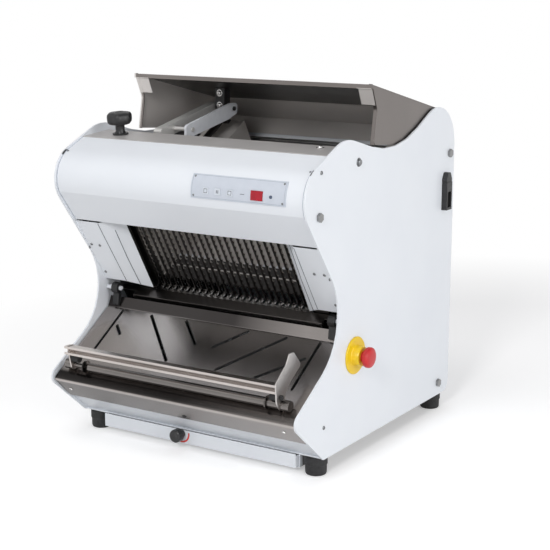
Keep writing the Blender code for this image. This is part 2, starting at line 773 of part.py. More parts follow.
def control_plate(body, looks):
    base = NOSE[2] - HOOD_INSET + GAP
    face = base + CONTROL_THICKNESS
    steps = 8
    span = CONTROL_HIGH_ANGLE - CONTROL_LOW_ANGLE
    angles = [CONTROL_LOW_ANGLE + span * step / steps for step in range(steps + 1)]
    outline = [nose_point(face, angle) for angle in angles]
    outline += [nose_point(base, angle) for angle in angles[::-1]]
    console = empty("console", body, (0, *nose_centre()), -KEY_ANGLE)
    half = KEY_SIZE / 2

    def opening(x, wide, high):
        return block((x - wide, x + wide), (-face - 5, -base + 5), (-high, high))

    gap = half + KEY_CLEARANCE
    pockets = [opening(x, gap, gap) for x in KEY_XS]
    pockets.append(
        opening(WINDOW_X, WINDOW_WIDTH / 2 + KEY_CLEARANCE, WINDOW_HEIGHT / 2 + KEY_CLEARANCE)
    )
    reach = (-face - 5, -base + 5)
    lamp_hole = rod((LAMP_X, reach[0], 0), (LAMP_X, reach[1], 0), LAMP_RADIUS + KEY_CLEARANCE, 16)
    cutter = together(pockets + [lamp_hole])
    bmesh.ops.rotate(
        cutter, verts=cutter.verts, matrix=Matrix.Rotation(math.radians(-KEY_ANGLE), 3, "X")
    )
    bmesh.ops.translate(cutter, verts=cutter.verts, vec=(0, *nose_centre()))
    plate = prism(outline, CONTROL_LEFT, CONTROL_RIGHT)
    piece("control_plate", plate, looks["grey"], body, cuts=[cutter])
    floor = -(base + KEY_RISE)
    for x, name in zip(KEY_XS, ("start_key", "stop_key", "mode_key")):
        key = block((x - half, x + half), (floor - KEY_HEIGHT, floor), (-half, half))
        piece(name, key, looks["light"], console, pivot=(x, floor, 0))
    floor = -(base + GAP)
    front = -(face + WINDOW_RISE)
    wide, high = WINDOW_WIDTH / 2, WINDOW_HEIGHT / 2
    window = block((WINDOW_X - wide, WINDOW_X + wide), (front, floor), (-high, high))
    piece("display_window", window, looks["dark_red"], console)
    lamp = turned(
        [(0, 0), (LAMP_RADIUS, 0), (LAMP_RADIUS, front - floor), (0, front - floor - 1)],
        (LAMP_X, floor, 0),
        "y",
        16,
    )
    piece("indicator_lamp", lamp, looks["grey"], console)


def clamp_knob(body, look):
    slope = (TOP_PLATE_FRONT_Z - TOP_PLATE_REAR[1]) / (HOOD_REAR_Y + HOOD_JOINT - TOP_PLATE_REAR[0])
    tilt = math.atan(slope)
    seat = TOP_PLATE_REAR[1] + (CLAMP_Y - TOP_PLATE_REAR[0]) * slope + GAP
    stem_top = CLAMP_WASHER_HEIGHT + CLAMP_STEM_HEIGHT
    head_top = stem_top + CLAMP_HEAD_HEIGHT
    stem = turned(
        [
            (0, 0),
            (CLAMP_WASHER_RADIUS, 0),
            (CLAMP_WASHER_RADIUS, CLAMP_WASHER_HEIGHT),
            (CLAMP_STEM_RADIUS, CLAMP_WASHER_HEIGHT),
            (CLAMP_STEM_RADIUS * 0.85, stem_top - 3),
            (CLAMP_STEM_RADIUS, stem_top + 1),
            (0, stem_top + 1),
        ],
        (0, 0, 0),
        "z",
        20,
    )
    rings = (
        (0.72, stem_top),
        (0.94, stem_top + 5),
        (1.0, stem_top + 11),
        (1.0, head_top - 7),
        (0.93, head_top - 2.5),
        (0.8, head_top),
    )
    sides = CLAMP_LOBES * 4
    head = bmesh.new()
    layers = []
    for share, height in rings:
        layer = []
        for i in range(sides):
            turn = 2 * math.pi * i / sides
            radius = share * (CLAMP_HEAD_RADIUS - CLAMP_LOBE_DEPTH * (1 - math.cos(CLAMP_LOBES * turn)) / 2)
            layer.append(head.verts.new((radius * math.cos(turn), radius * math.sin(turn), height)))
        layers.append(layer)
    for lower, upper in zip(layers, layers[1:]):
        for i in range(sides):
            j = (i + 1) % sides
            head.faces.new((lower[i], lower[j], upper[j], upper[i]))
    head.faces.new(layers[0])
    head.faces.new(layers[-1])
    bmesh.ops.recalc_face_normals(head, faces=head.faces)
    seat_frame = empty("clamp_seat", body, (CLAMP_X, CLAMP_Y, seat), math.degrees(tilt))
    piece("clamp_knob", stem, look, seat_frame, joins=[head])


def chute(plane, look):
    top = LOAF_FLOOR + CHUTE_DEPTH
    wall, floor = CHUTE_HALF_WIDTH, LOAF_FLOOR
    path = [
        (-CHUTE_FLANGE, top),
        (-wall, top),
        (-wall, floor),
        (wall, floor),
        (wall, top),
        (CHUTE_FLANGE, top),
    ]
    hat = prism(sheet(path, SHEET), CHUTE_START, CHUTE_END, "xz")
    tongue = block(
        (-wall + 1, wall - 1), (CHUTE_END - 10, CHUTE_TONGUE), (floor - SHEET, floor)
    )

    def tab(side):
        xs = (side * (CHUTE_FLANGE - 6), side * BETWEEN)
        return block(xs, (CHUTE_TAB_START, CHUTE_TAB_END), (top - SHEET, top))

    piece("loading_chute", hat, look, plane, joins=[tongue, *mirrored(tab)])


def pusher(plane, looks):
    flange = LOAF_FLOOR + CHUTE_DEPTH
    axis = flange + PUSHER_ROD_HEIGHT
    low, high = LOAF_FLOOR + 1.5, LOAF_FLOOR + PUSHER_HEIGHT
    half = PUSHER_HALF_WIDTH
    outline = [(-half, high), (-half, low)]
    for i in range(BLADE_COUNT):
        x = (i - (BLADE_COUNT - 1) / 2) * BLADE_PITCH
        near, far = x - PUSHER_SLOT / 2, x + PUSHER_SLOT / 2
        outline += [(near, low), (near, high - PUSHER_BAR), (far, high - PUSHER_BAR), (far, low)]
    outline += [(half, low), (half, high)]
    faces = (PUSHER_REST, PUSHER_REST + PUSHER_THICKNESS)
    comb = prism(outline, *faces, "xz")
    middle = PUSHER_REST + PUSHER_THICKNESS / 2
    sleeve = (middle - PUSHER_SLEEVE_LENGTH / 2, middle + PUSHER_SLEEVE_LENGTH / 2)

    def arm(side):
        outline = [
            (side * (half - 22), high - 12),
            (side * (half - 22), axis - 2),
            (side * (half - 10), axis + 8),
            (side * PUSHER_ROD_X, axis + 8),
            (side * PUSHER_ROD_X, axis - 8),
            (side * half, axis - 8),
            (side * half, high - 12),
        ]
        return prism(outline, *faces, "xz")

    def tube(side):
        centre = (side * PUSHER_ROD_X, axis)
        return prism(circle(centre, PUSHER_SLEEVE, 20), *sleeve, "xz")

    def bore(side):
        centre = (side * PUSHER_ROD_X, axis)
        hole = circle(centre, PUSHER_ROD_RADIUS + BORE_CLEARANCE, 20)
        return prism(hole, sleeve[0] - 5, sleeve[1] + 5, "xz")

    joins = mirrored(arm) + mirrored(tube)
    piece("pusher_comb", comb, looks["steel"], plane, joins=joins, cuts=mirrored(bore))
    for side, hand in ((-1, "left"), (1, "right")):
        x = side * PUSHER_ROD_X
        rail = rod((x, PUSHER_ROD_START + 2, axis), (x, PUSHER_ROD_END - 2, axis), PUSHER_ROD_RADIUS)
        xs = (x - PUSHER_BLOCK_HALF_WIDTH, x + PUSHER_BLOCK_HALF_WIDTH)
        zs = (flange + GAP, axis + PUSHER_ROD_RADIUS + PUSHER_BLOCK_CAP)
        ends = (
            (PUSHER_ROD_START, PUSHER_ROD_START + PUSHER_BLOCK),
            (PUSHER_ROD_END - PUSHER_BLOCK, PUSHER_ROD_END),
        )
        blocks = [block(xs, ys, zs) for ys in ends]
        piece(f"pusher_rod_{hand}", rail, looks["steel"], plane, joins=blocks)


def blade_outline(side):
    """A band blade seen from the side, with its scallops towards the loading side.

    All the blades lie in one plane. Each end steps over to its own frame's side and runs into the rail.
    """
    half = BLADE_HALF_DEPTH
    near, far = side * HOLDER_NEAR, side * HOLDER_FAR
    low_step, high_step = BLADE_LOW + HOLDER_SLOPE, BLADE_HIGH - HOLDER_SLOPE
    low_start, high_start = low_step + HOLDER_SLOPE, high_step - HOLDER_SLOPE
    low_end, high_end = FRAME_WINDOW_BOTTOM - HOLDER_SEAT, FRAME_WINDOW_TOP + HOLDER_SEAT
    low_holder = [(far, low_step), (far, low_end), (near, low_end), (near, BLADE_LOW)]
    high_holder = [(near, BLADE_HIGH), (near, high_end), (far, high_end), (far, high_step)]
    low, high = (low_start, high_start) if side > 0 else (BLADE_LOW, BLADE_HIGH)
    teeth = round((high - low) / TOOTH_PITCH)
    pitch = (high - low) / teeth
    edge = [(half, low)]
    for i in range(teeth):
        start = low + i * pitch
        edge.append((half - TOOTH_DEPTH, start + pitch / 2))
        edge.append((half, start + pitch))
    if side > 0:
        back = [(-half, BLADE_HIGH), (-half, BLADE_LOW)]
        return edge + high_holder[::-1] + back + low_holder[::-1]
    back = [(-half, high_start), (-half, low_start)]
    return edge + high_holder + back + low_holder


def blade_frame(name, side, plane, look):
    """A frame on the front (-1) or rear (1) side of the blade plane, with every second blade."""
    depths = sorted((side * FRAME_NEAR, side * FRAME_FAR))
    outer = [
        (-FRAME_OUTER, FRAME_BOTTOM),
        (FRAME_OUTER, FRAME_BOTTOM),
        (FRAME_OUTER, FRAME_TOP),
        (-FRAME_OUTER, FRAME_TOP),
    ]
    window = [
        (-FRAME_INNER, FRAME_WINDOW_BOTTOM),
        (FRAME_INNER, FRAME_WINDOW_BOTTOM),
        (FRAME_INNER, FRAME_WINDOW_TOP),
        (-FRAME_INNER, FRAME_WINDOW_TOP),
    ]
    frame = prism(outer, *depths, "xz", [window])
    outline = blade_outline(side)
    first = 0 if side < 0 else 1
    blades = []
    for i in range(first, BLADE_COUNT, 2):
        x = (i - (BLADE_COUNT - 1) / 2) * BLADE_PITCH
        blades.append(prism(outline, x - BLADE_THICKNESS / 2, x + BLADE_THICKNESS / 2))
    lug_start = DISC_LEFT + DISC_WIDTH + LUG_CLEARANCE
    lug_x = (side * lug_start, side * (lug_start + LUG_WIDTH))
    lug = block(lug_x, depths, (FRAME_BOTTOM - LUG_LENGTH, FRAME_BOTTOM + 5))
    piece(name, frame, look, plane, joins=[together(blades), lug])


def frame_guides(plane, look):
    near = FRAME_NEAR - GROOVE_CLEARANCE
    far = FRAME_FAR + GROOVE_CLEARANCE
    bottom = FRAME_OUTER + 1
    back = GUIDE_FACE + GUIDE_DEPTH
    half = GUIDE_HALF_DEPTH
    outline = [(GUIDE_FACE, -half), (GUIDE_FACE, -far), (bottom, -far), (bottom, -near)]
    outline += [(GUIDE_FACE, -near), (GUIDE_FACE, near), (bottom, near), (bottom, far)]
    outline += [(GUIDE_FACE, far), (GUIDE_FACE, half), (back, half), (back, -half + GUIDE_WEB)]
    outline += [(BETWEEN - GUIDE_WEB, -half + GUIDE_WEB), (BETWEEN - GUIDE_WEB, half)]
    outline += [(BETWEEN, half), (BETWEEN, -half)]
    for side, hand in ((-1, "left"), (1, "right")):
        turned_out = [(side * x, depth) for x, depth in outline]
        guide = prism(turned_out, GUIDE_LOW, GUIDE_HIGH, "xy")
        piece(f"frame_guide_{hand}", guide, look, plane)


def guards(body, look):
    """A guard is a folded sheet: a flange on the panel, a flat strip, and a return to the blades."""
    return_top = blade_point(-GUARD_RETURN_DEPTH, GUARD_RETURN_TOP)
    return_bottom = blade_point(-GUARD_RETURN_DEPTH, GUARD_RETURN_BOTTOM)
    slant = (Vector(GUARD_BOTTOM) - Vector(GUARD_TOP)).normalized()
    inward = Vector((-slant.y, slant.x)) * GUARD_FLANGE
    for side, name in ((-1, "left_guard"), (1, "right_guard")):
        rows = []
        for level, back in ((Vector(GUARD_TOP), return_top), (Vector(GUARD_BOTTOM), return_bottom)):
            flange = level + inward
            path = [
                Vector((side * BETWEEN, *flange)),
                Vector((side * BETWEEN, *level)),
                Vector((side * GUARD_EDGE, *level)),
                Vector((side * GUARD_INNER, *back)),
            ]
            step = inward.normalized() * SHEET
            depth = Vector((0, *step))
            sideways = Vector((-side * SHEET, 0, 0))
            inner = [path[0] + sideways, path[1] + sideways + depth]
            inner += [path[2] + depth, path[3] + Vector((side * SHEET, 0, 0))]
            rows.append(path + inner[::-1])
        shape = bmesh.new()
        layers = [[shape.verts.new(point) for point in row] for row in rows]
        count = len(layers[0])
        for i in range(count):
            j = (i + 1) % count
            shape.faces.new((layers[0][i], layers[0][j], layers[1][j], layers[1][i]))
        for layer in layers:
            for i in range(3):
                shape.faces.new((layer[i], layer[i + 1], layer[count - 2 - i], layer[count - 1 - i]))
        bmesh.ops.recalc_face_normals(shape, faces=shape.faces)
        piece(name, shape, look, body)


def slice_ramp(plane, look):
    start, end = -RAMP_NEAR, -RAMP_FAR
    path = [(start, LOAF_FLOOR), (end, LOAF_FLOOR), (end - 2, LOAF_FLOOR - RAMP_LIP)]
    ramp = prism(sheet(path, -SHEET), -RAMP_HALF_WIDTH, RAMP_HALF_WIDTH)

    def ear(side):
        xs = (side * (RAMP_HALF_WIDTH - 5), side * BETWEEN)
        return block(xs, (-RAMP_EAR_FAR, start - 1), (LOAF_FLOOR - SHEET, LOAF_FLOOR))

    piece("slice_ramp", ramp, look, plane, joins=mirrored(ear))


def tray_floor(y):
    """The height of the tray's upper surface."""
    rise = (TRAY_BEND[1] - TRAY_LOW[1]) / (TRAY_BEND[0] - TRAY_LOW[0])
    return TRAY_LOW[1] + (y - TRAY_LOW[0]) * rise


def slot_cutter(start, end):
    start, end = Vector(start), Vector(end)
    along = (end - start).normalized()
    turn = math.atan2(along.y, along.x)
    outline = []
    for centre, first in ((end, -math.pi / 2), (start, math.pi / 2)):
        for step in range(5):
            angle = turn + first + math.pi * step / 4
            outline.append(centre + Vector((math.cos(angle), math.sin(angle))) * SLOT_WIDTH / 2)
    low = min(tray_floor(start.y), tray_floor(end.y)) - SLOT_CUT_DEPTH
    high = max(tray_floor(start.y), tray_floor(end.y)) + SLOT_CUT_DEPTH
    return prism(outline, low, high, "xy")


def slice_tray(body, looks):
    pivot = (0, *TRAY_HINGE)
    path = rounded([TRAY_TOP, (*TRAY_BEND, 4), (*TRAY_LOW, 12), (*TRAY_LIP, 6), TRAY_FLANGE_END], False)
    tray = prism(sheet(path, -SHEET), -TRAY_HALF_WIDTH, TRAY_HALF_WIDTH)
    radii = {
        BRACKET_LEFT: STOP_SPINDLE_RADIUS + BRACKET_CLEARANCE,
        BRACKET_RIGHT: STOP_TUBE_RADIUS + BRACKET_CLEARANCE,
    }
    brackets, bores = [], []
    for x, bore in radii.items():
        faces = (x - BRACKET_THICKNESS / 2, x + BRACKET_THICKNESS / 2)
        outline = circle(STOP_AXIS, max(bore + BRACKET_RING, STOP_TUBE_RADIUS + BRACKET_RING), 24)
        brackets.append(prism(outline, *faces))
        bores.append(cross_rod(STOP_AXIS, faces[0] - 5, faces[1] + 5, bore, 24))
    slots = together([slot_cutter(*slot) for slot in SLOTS])
    piece("slice_tray", tray, looks["steel"], body, pivot, joins=brackets, cuts=[slots, *bores])
    for side, hand in ((-1, "left"), (1, "right")):
        faces = sorted((side * HOOK_NEAR, side * (HOOK_NEAR + HOOK_WIDTH)))
        inner = HINGE_PIN_RADIUS + HOOK_CLEARANCE
        arc = [math.radians(15 + step * 265 / 16) for step in range(17)]
        centre = Vector(TRAY_HINGE)
        around = [Vector((math.cos(turn), math.sin(turn))) for turn in arc]
        ring = [centre + out * HOOK_OUTER for out in around]
        ring += [centre + out * inner for out in around[::-1]]
        seat = offset_path([TRAY_BEND, TRAY_TOP], -GAP)
        outer = offset_path([TRAY_BEND, TRAY_TOP], -GAP - 5)
        arm = [
            seat[0].lerp(seat[1], 0.2),
            seat[1],
            centre + Vector((0.4, -HOOK_OUTER + 3)),
            centre + Vector((-5, -HOOK_OUTER + 4)),
            outer[0].lerp(outer[1], 0.2),
        ]
        hook = prism(ring, *faces)
        piece(f"tray_hook_{hand}", hook, looks["black"], body, pivot, joins=[prism(arm, *faces)])


def loaf_stop(body, looks):
    pivot = (0, *STOP_AXIS)
    inner_face = STOP_PLATE - STOP_PLATE_THICKNESS / 2
    outer_face = STOP_PLATE + STOP_PLATE_THICKNESS / 2
    spindle = cross_rod(STOP_AXIS, -STOP_END_REACH + 3, STOP_END_REACH - 3, STOP_SPINDLE_RADIUS)
    tube = cross_rod(STOP_AXIS, STOP_TUBE_LEFT, STOP_TUBE_RIGHT, STOP_TUBE_RADIUS, 24)
    knobs = []
    for side in (-1, 1):
        faces = sorted((side * (outer_face + GAP), side * STOP_END_REACH))
        knobs.append(cross_rod(STOP_AXIS, *faces, STOP_END_RADIUS, 16))
    piece("stop_tube", tube, looks["steel"], body, pivot, joins=[spindle, *knobs])

    y, z = STOP_RAIL_CENTRE
    half = STOP_RAIL_SIZE / 2
    wall = half - SHEET
    channel = [(y - half, z - half), (y + half, z - half), (y + half, z + half), (y - half, z + half)]
    channel += [(y - half, z + half - 5), (y - half + SHEET, z + half - 5)]
    channel += [(y - half + SHEET, z + wall), (y + wall, z + wall), (y + wall, z - wall)]
    channel += [(y - half + SHEET, z - wall), (y - half + SHEET, z - half + 5), (y - half, z - half + 5)]
    rail = prism(channel, -STOP_PLATE - STOP_RAIL_OVERHANG, inner_face - GAP)
    foot = STOP_TUBE_RADIUS - 0.1
    axis_y, axis_z = STOP_AXIS
    plate_outline = [
        (axis_y - foot, axis_z - foot, foot - 0.1),
        (axis_y + foot, axis_z - foot, foot - 0.1),
        (y + half + 3, z + half + 1, 5),
        (y - half, z + half + 1, 3),
    ]
    spindle_hole = circle(STOP_AXIS, STOP_SPINDLE_RADIUS + BORE_CLEARANCE, 20)
    stud_hole = circle(BUMPER_CENTRE, BUMPER_STUD_RADIUS + BORE_CLEARANCE, 16)
    holes = [spindle_hole, stud_hole]
    left_plate = prism(rounded(plate_outline), -outer_face, -inner_face, holes=holes)
    piece("stop_rail", rail, looks["steel"], body, pivot, joins=[left_plate])

    fin = [
        *FIN_OUTLINE,
        (axis_y + foot, axis_z - foot, foot - 0.1),
        (axis_y - foot, axis_z - foot, foot - 0.1),
        *FIN_FRONT,
    ]
    right_plate = prism(rounded(fin), inner_face, outer_face, holes=holes)
    piece("stop_end_plate", right_plate, looks["steel"], body, pivot)

    for side, hand in ((-1, "left"), (1, "right")):
        pad_end = side * (inner_face - GAP)
        pad = cross_rod(BUMPER_CENTRE, pad_end - side * BUMPER_LENGTH, pad_end, BUMPER_RADIUS)
        nut_start = side * (outer_face + GAP)
        nut_end = nut_start + side * NUT_HEIGHT
        stud = cross_rod(BUMPER_CENTRE, pad_end - side * 5, nut_end, BUMPER_STUD_RADIUS, 12)
        nut = cross_rod(BUMPER_CENTRE, nut_start, nut_end, NUT_RADIUS, 6)
        piece(f"stop_bumper_{hand}", pad, looks["rubber"], body, pivot, joins=[stud, nut])


def crumb_drawer(body, looks):
    front, half = DRAWER_FRONT, DRAWER_HALF_WIDTH
    back = front + DRAWER_LENGTH
    box = block((-half, half), (front + 1, back), (DRAWER_BOTTOM, DRAWER_WALL_TOP))
    face = block((-half, half), (front, front + SHEET), (DRAWER_BOTTOM, DRAWER_FRONT_TOP))
    wall = DRAWER_WALL
    inside = block(
        (-half + wall, half - wall),
        (front + SHEET + wall, back - wall),
        (DRAWER_BOTTOM + wall, DRAWER_WALL_TOP + 5),
    )
    centre = (KNOB_X, front, KNOB_Z)
    piece("crumb_drawer", box, looks["white"], body, centre, joins=[face], cuts=[inside])
    profile = [
        (0, -GAP),
        (KNOB_NECK_RADIUS + 3, -GAP),
        (KNOB_NECK_RADIUS, -3),
        (KNOB_NECK_RADIUS, -KNOB_NECK_LENGTH),
        (KNOB_RADIUS, -KNOB_NECK_LENGTH - 2),
        (KNOB_RADIUS, -KNOB_REACH + 3),
        (KNOB_RADIUS - 3, -KNOB_REACH),
        (0, -KNOB_REACH),
    ]
    knob = turned(profile, centre, "y", 20)
    piece("drawer_knob", knob, looks["black"], body, centre)


def lid(body, looks):
    pivot = (0, *LID_HINGE)
    front = Vector(LID_FRONT)
    path = [front - Vector((0, LID_LIP)), front, LID_BEND, LID_REAR_TOP, LID_REAR_LOW]
    top = prism(sheet(path, SHEET), -LID_HALF_WIDTH, LID_HALF_WIDTH)
    y, z = LID_HINGE
    cheek = [
        LID_FRONT,
        (*LID_FRONT_MIDDLE, LID_EDGE_RADIUS),
        (*LID_FRONT_LOW, 8),
        LID_CHEEK_LOW,
        (y - 12, z - 4, 6),
        (y - 7, z - 12, 5),
        (y + 7, z - 12, 5),
        LID_REAR_LOW,
        LID_REAR_TOP,
        LID_BEND,
    ]
    edge = rounded([LID_FRONT, (*LID_FRONT_MIDDLE, LID_EDGE_RADIUS), LID_FRONT_LOW], False)
    slope = (LID_FRONT_MIDDLE[0] - LID_FRONT[0]) / (LID_FRONT_MIDDLE[1] - LID_FRONT[1])
    tab_line = [
        (LID_FRONT[0] + (LID_CORNER_TOP - LID_FRONT[1]) * slope, LID_CORNER_TOP),
        (LID_FRONT[0] + (LID_CORNER_LOW - LID_FRONT[1]) * slope, LID_CORNER_LOW),
    ]
    cheek_line = offset_path(rounded(cheek), -WELD, True)
    tab_sheet = sheet(offset_path(tab_line, -WELD), -SHEET)
    joins = []
    for side in (-1, 1):
        outside = side * (LID_HALF_WIDTH - WELD)
        inside = side * LID_HALF_WIDTH
        joins.append(prism(cheek_line, outside, inside - side * LID_CHEEK))
        outside -= side * WELD
        joins.append(prism(sheet(edge, -SHEET), outside, inside - side * LID_LIP))
        outside -= side * WELD
        joins.append(prism(tab_sheet, outside, inside - side * LID_CORNER_WIDTH))
    bore = cross_rod(LID_HINGE, -LID_HALF_WIDTH - 5, LID_HALF_WIDTH + 5, LID_ROD_RADIUS + BORE_CLEARANCE)
    piece("lid", top, looks["steel"], body, pivot, joins=joins, cuts=[bore])

    slope = (LID_BEND[1] - LID_FRONT[1]) / (LID_BEND[0] - LID_FRONT[0])
    py, pz = HOLD_PIVOT
    half = HOLD_BRACKET_HALF

    def under_lid(y):
        return LID_FRONT[1] + (y - LID_FRONT[0]) * slope - SHEET / math.cos(math.atan(slope)) - GAP

    outline = [
        (py - half, under_lid(py - half)),
        (py + half, under_lid(py + half)),
        (py + half, pz, 8),
        (py + half - 4, pz - 10, 5),
        (py - half + 4, pz - 10, 5),
        (py - half, pz, 8),
    ]
    bracket = prism(rounded(outline), HOLD_BRACKET_LEFT, HOLD_BRACKET_RIGHT)
    pin_ends = (ARM_LEFT - 3, HOLD_PLATE_X + HOLD_PLATE_THICKNESS + 3)
    pin = cross_rod(HOLD_PIVOT, *pin_ends, HOLD_PIN_RADIUS, 16)
    piece("hold_down_bracket", bracket, looks["black"], body, pivot, joins=[pin])


def hold_down(body, looks):
    pivot = (0, *HOLD_PIVOT)
    bore = HOLD_PIN_RADIUS + BORE_CLEARANCE
    start, end = Vector(HOLD_PIVOT), Vector(ARM_END)
    along = (start - end).normalized()
    across = Vector((-along.y, along.x)) * ARM_HEIGHT / 2
    tail = start + along * ARM_HEIGHT / 2
    tip = end - along * ARM_HEIGHT / 2
    radius = ARM_HEIGHT / 3
    outline = [
        (*(tail + across), radius),
        (*(tip + across), radius),
        (*(tip - across), radius),
        (*(tail - across), radius),
    ]
    holes = [circle(HOLD_PIVOT, bore, 16)]
    arm = prism(rounded(outline), ARM_LEFT, ARM_LEFT + ARM_WIDTH, holes=holes)
    far_side = HOLD_PLATE_X + HOLD_PLATE_THICKNESS
    link = cross_rod(ARM_ROD, ARM_LEFT + ARM_WIDTH - 5, far_side + 3, HOLD_PIN_RADIUS, 16)
    piece("hold_down_arm", arm, looks["steel"], body, pivot, joins=[link])
    holes = [circle(HOLD_PIVOT, bore, 16), circle(ARM_ROD, bore, 16)]
    plate = prism(rounded(HOLD_PLATE_OUTLINE), HOLD_PLATE_X, far_side, holes=holes)
    piece("hold_down_plate", plate, looks["white"], body, pivot)


def crank_drive(body, looks):
    axis = Vector(blade_point(0, CRANK_DROP))
    tilt = math.radians(BLADE_TILT)
    through = Vector((math.cos(tilt), math.sin(tilt)))
    up = Vector((-math.sin(tilt), math.cos(tilt)))
    pivot = (0, *axis)
    shaft = cross_rod(axis, -CRANK_SHAFT_END, CRANK_SHAFT_END, CRANK_SHAFT_RADIUS)
    discs = []
    for side, name in ((-1, "connecting_rod_front"), (1, "connecting_rod_rear")):
        faces = sorted((side * DISC_LEFT, side * (DISC_LEFT + DISC_WIDTH)))
        centre = axis + through * side * FRAME_STROKE
        discs.append(cross_rod(centre, *faces, DISC_RADIUS, 32))
        bore = DISC_RADIUS + BORE_CLEARANCE
        eye = centre + up * ROD_LENGTH
        start = centre + up * (bore + ROD_RING / 2)
        half = through * ROD_WIDTH / 2
        shank = [start - half, start + half, eye + half * 0.8, eye - half * 0.8]
        ring = prism(circle(centre, bore + ROD_RING, 32), *faces)
        end = prism(circle(eye, ROD_EYE_RADIUS, 20), *faces)
        hollow = cross_rod(centre, faces[0] - 5, faces[1] + 5, bore, 32)
        eye_hole = cross_rod(eye, faces[0] - 5, faces[1] + 5, ROD_EYE_BORE, 16)
        parts = [prism(shank, *faces), end]
        piece(name, ring, looks["cast"], body, (0, *centre), joins=parts, cuts=[hollow, eye_hole])
    piece("crankshaft", shaft, looks["steel"], body, pivot, joins=discs)

    for side, hand in ((-1, "left"), (1, "right")):
        outer = side * BETWEEN
        inner = outer - side * BEARING_WIDTH
        bore = CRANK_SHAFT_RADIUS + BORE_CLEARANCE
        profile = [
            (bore, inner),
            (BEARING_RADIUS * 0.7, inner),
            (BEARING_RADIUS * 0.7, outer - side * 7),
            (BEARING_RADIUS, outer - side * 6),
            (BEARING_RADIUS, outer),
            (bore, outer),
        ]
        bearing = turned(profile, (0, *axis), "x", 20)
        piece(f"crank_bearing_{hand}", bearing, looks["cast"], body, (0, *axis))

    motor_axis = (MOTOR_Y, MOTOR_Z)
    half = PULLEY_WIDTH / 2
    driven = turned(
        pulley_profile(PULLEY_RADIUS, half, CRANK_SHAFT_RADIUS + BORE_CLEARANCE),
        (PULLEY_X, *axis),
        "x",
        32,
    )
    piece("driven_pulley", driven, looks["cast"], body, (PULLEY_X, *axis))
    driving = turned(pulley_profile(MOTOR_PULLEY_RADIUS, half, 0), (PULLEY_X, *motor_axis), "x", 24)
    stub = cross_rod(
        motor_axis, MOTOR_RIGHT - MOTOR_SHAFT_DEPTH + 5, PULLEY_X, MOTOR_SHAFT_RADIUS, 16
    )
    centre = (PULLEY_X, *motor_axis)
    piece("motor_pulley", driving, looks["cast"], body, centre, joins=[stub])
    belt_faces = (PULLEY_X - BELT_WIDTH / 2, PULLEY_X + BELT_WIDTH / 2)
    wheels = ((axis, PULLEY_RADIUS), (Vector(motor_axis), MOTOR_PULLEY_RADIUS))
    outer = belt_line(wheels, GAP + BELT_THICKNESS)
    inner = belt_line(wheels, GAP)
    piece("drive_belt", prism(outer, *belt_faces, holes=[inner]), looks["rubber"], body)


def pulley_profile(radius, half, bore):
    rim = PULLEY_RIM_WIDTH
    profile = [
        (bore, -half),
        (radius + PULLEY_RIM, -half),
        (radius + PULLEY_RIM, -half + rim),
        (radius, -half + rim),
        (radius, half - rim),
        (radius + PULLEY_RIM, half - rim),
        (radius + PULLEY_RIM, half),
        (bore, half),
    ]
    return profile


def belt_line(wheels, rise):
    """The line of a belt round two wheels, at a height above their faces."""
    (big, big_radius), (small, small_radius) = wheels
    across = small - big
    heading = math.atan2(across.y, across.x)
    lean = math.acos((big_radius - small_radius) / across.length)
    points = []
    arcs = (
        (big, big_radius, lean, 2 * math.pi - lean, 24),
        (small, small_radius, -lean, lean, 12),
    )
    for centre, radius, start, end, steps in arcs:
        reach = (radius + rise) / math.cos((end - start) / steps / 2)
        for step in range(steps + 1):
            turn = heading + start + (end - start) * step / steps
            points.append(centre + Vector((math.cos(turn), math.sin(turn))) * reach)
    return points


def motor(body, look):
    centre = (MOTOR_Y, MOTOR_Z)
    length = MOTOR_LENGTH
    bore = MOTOR_SHAFT_RADIUS + BORE_CLEARANCE
    case = turned(
        [
            (0, 0),
            (MOTOR_RADIUS - MOTOR_BEVEL, 0),
            (MOTOR_RADIUS, MOTOR_BEVEL),
            (MOTOR_RADIUS, length - MOTOR_BEVEL),
            (MOTOR_RADIUS - MOTOR_BEVEL, length),
            (bore, length),
            (bore, length - MOTOR_SHAFT_DEPTH),
            (0, length - MOTOR_SHAFT_DEPTH),
        ],
        (MOTOR_LEFT, *centre),
        "x",
        28,
    )
    foot = block(
        (MOTOR_LEFT + MOTOR_FOOT_INSET, MOTOR_RIGHT - MOTOR_FOOT_INSET),
        (MOTOR_Y - MOTOR_FOOT_HALF, MOTOR_Y + MOTOR_FOOT_HALF),
        (BASE_TOP + GAP, BASE_TOP + GAP + MOTOR_FOOT_HEIGHT),
    )
    piece("motor", case, look, body, joins=[foot])


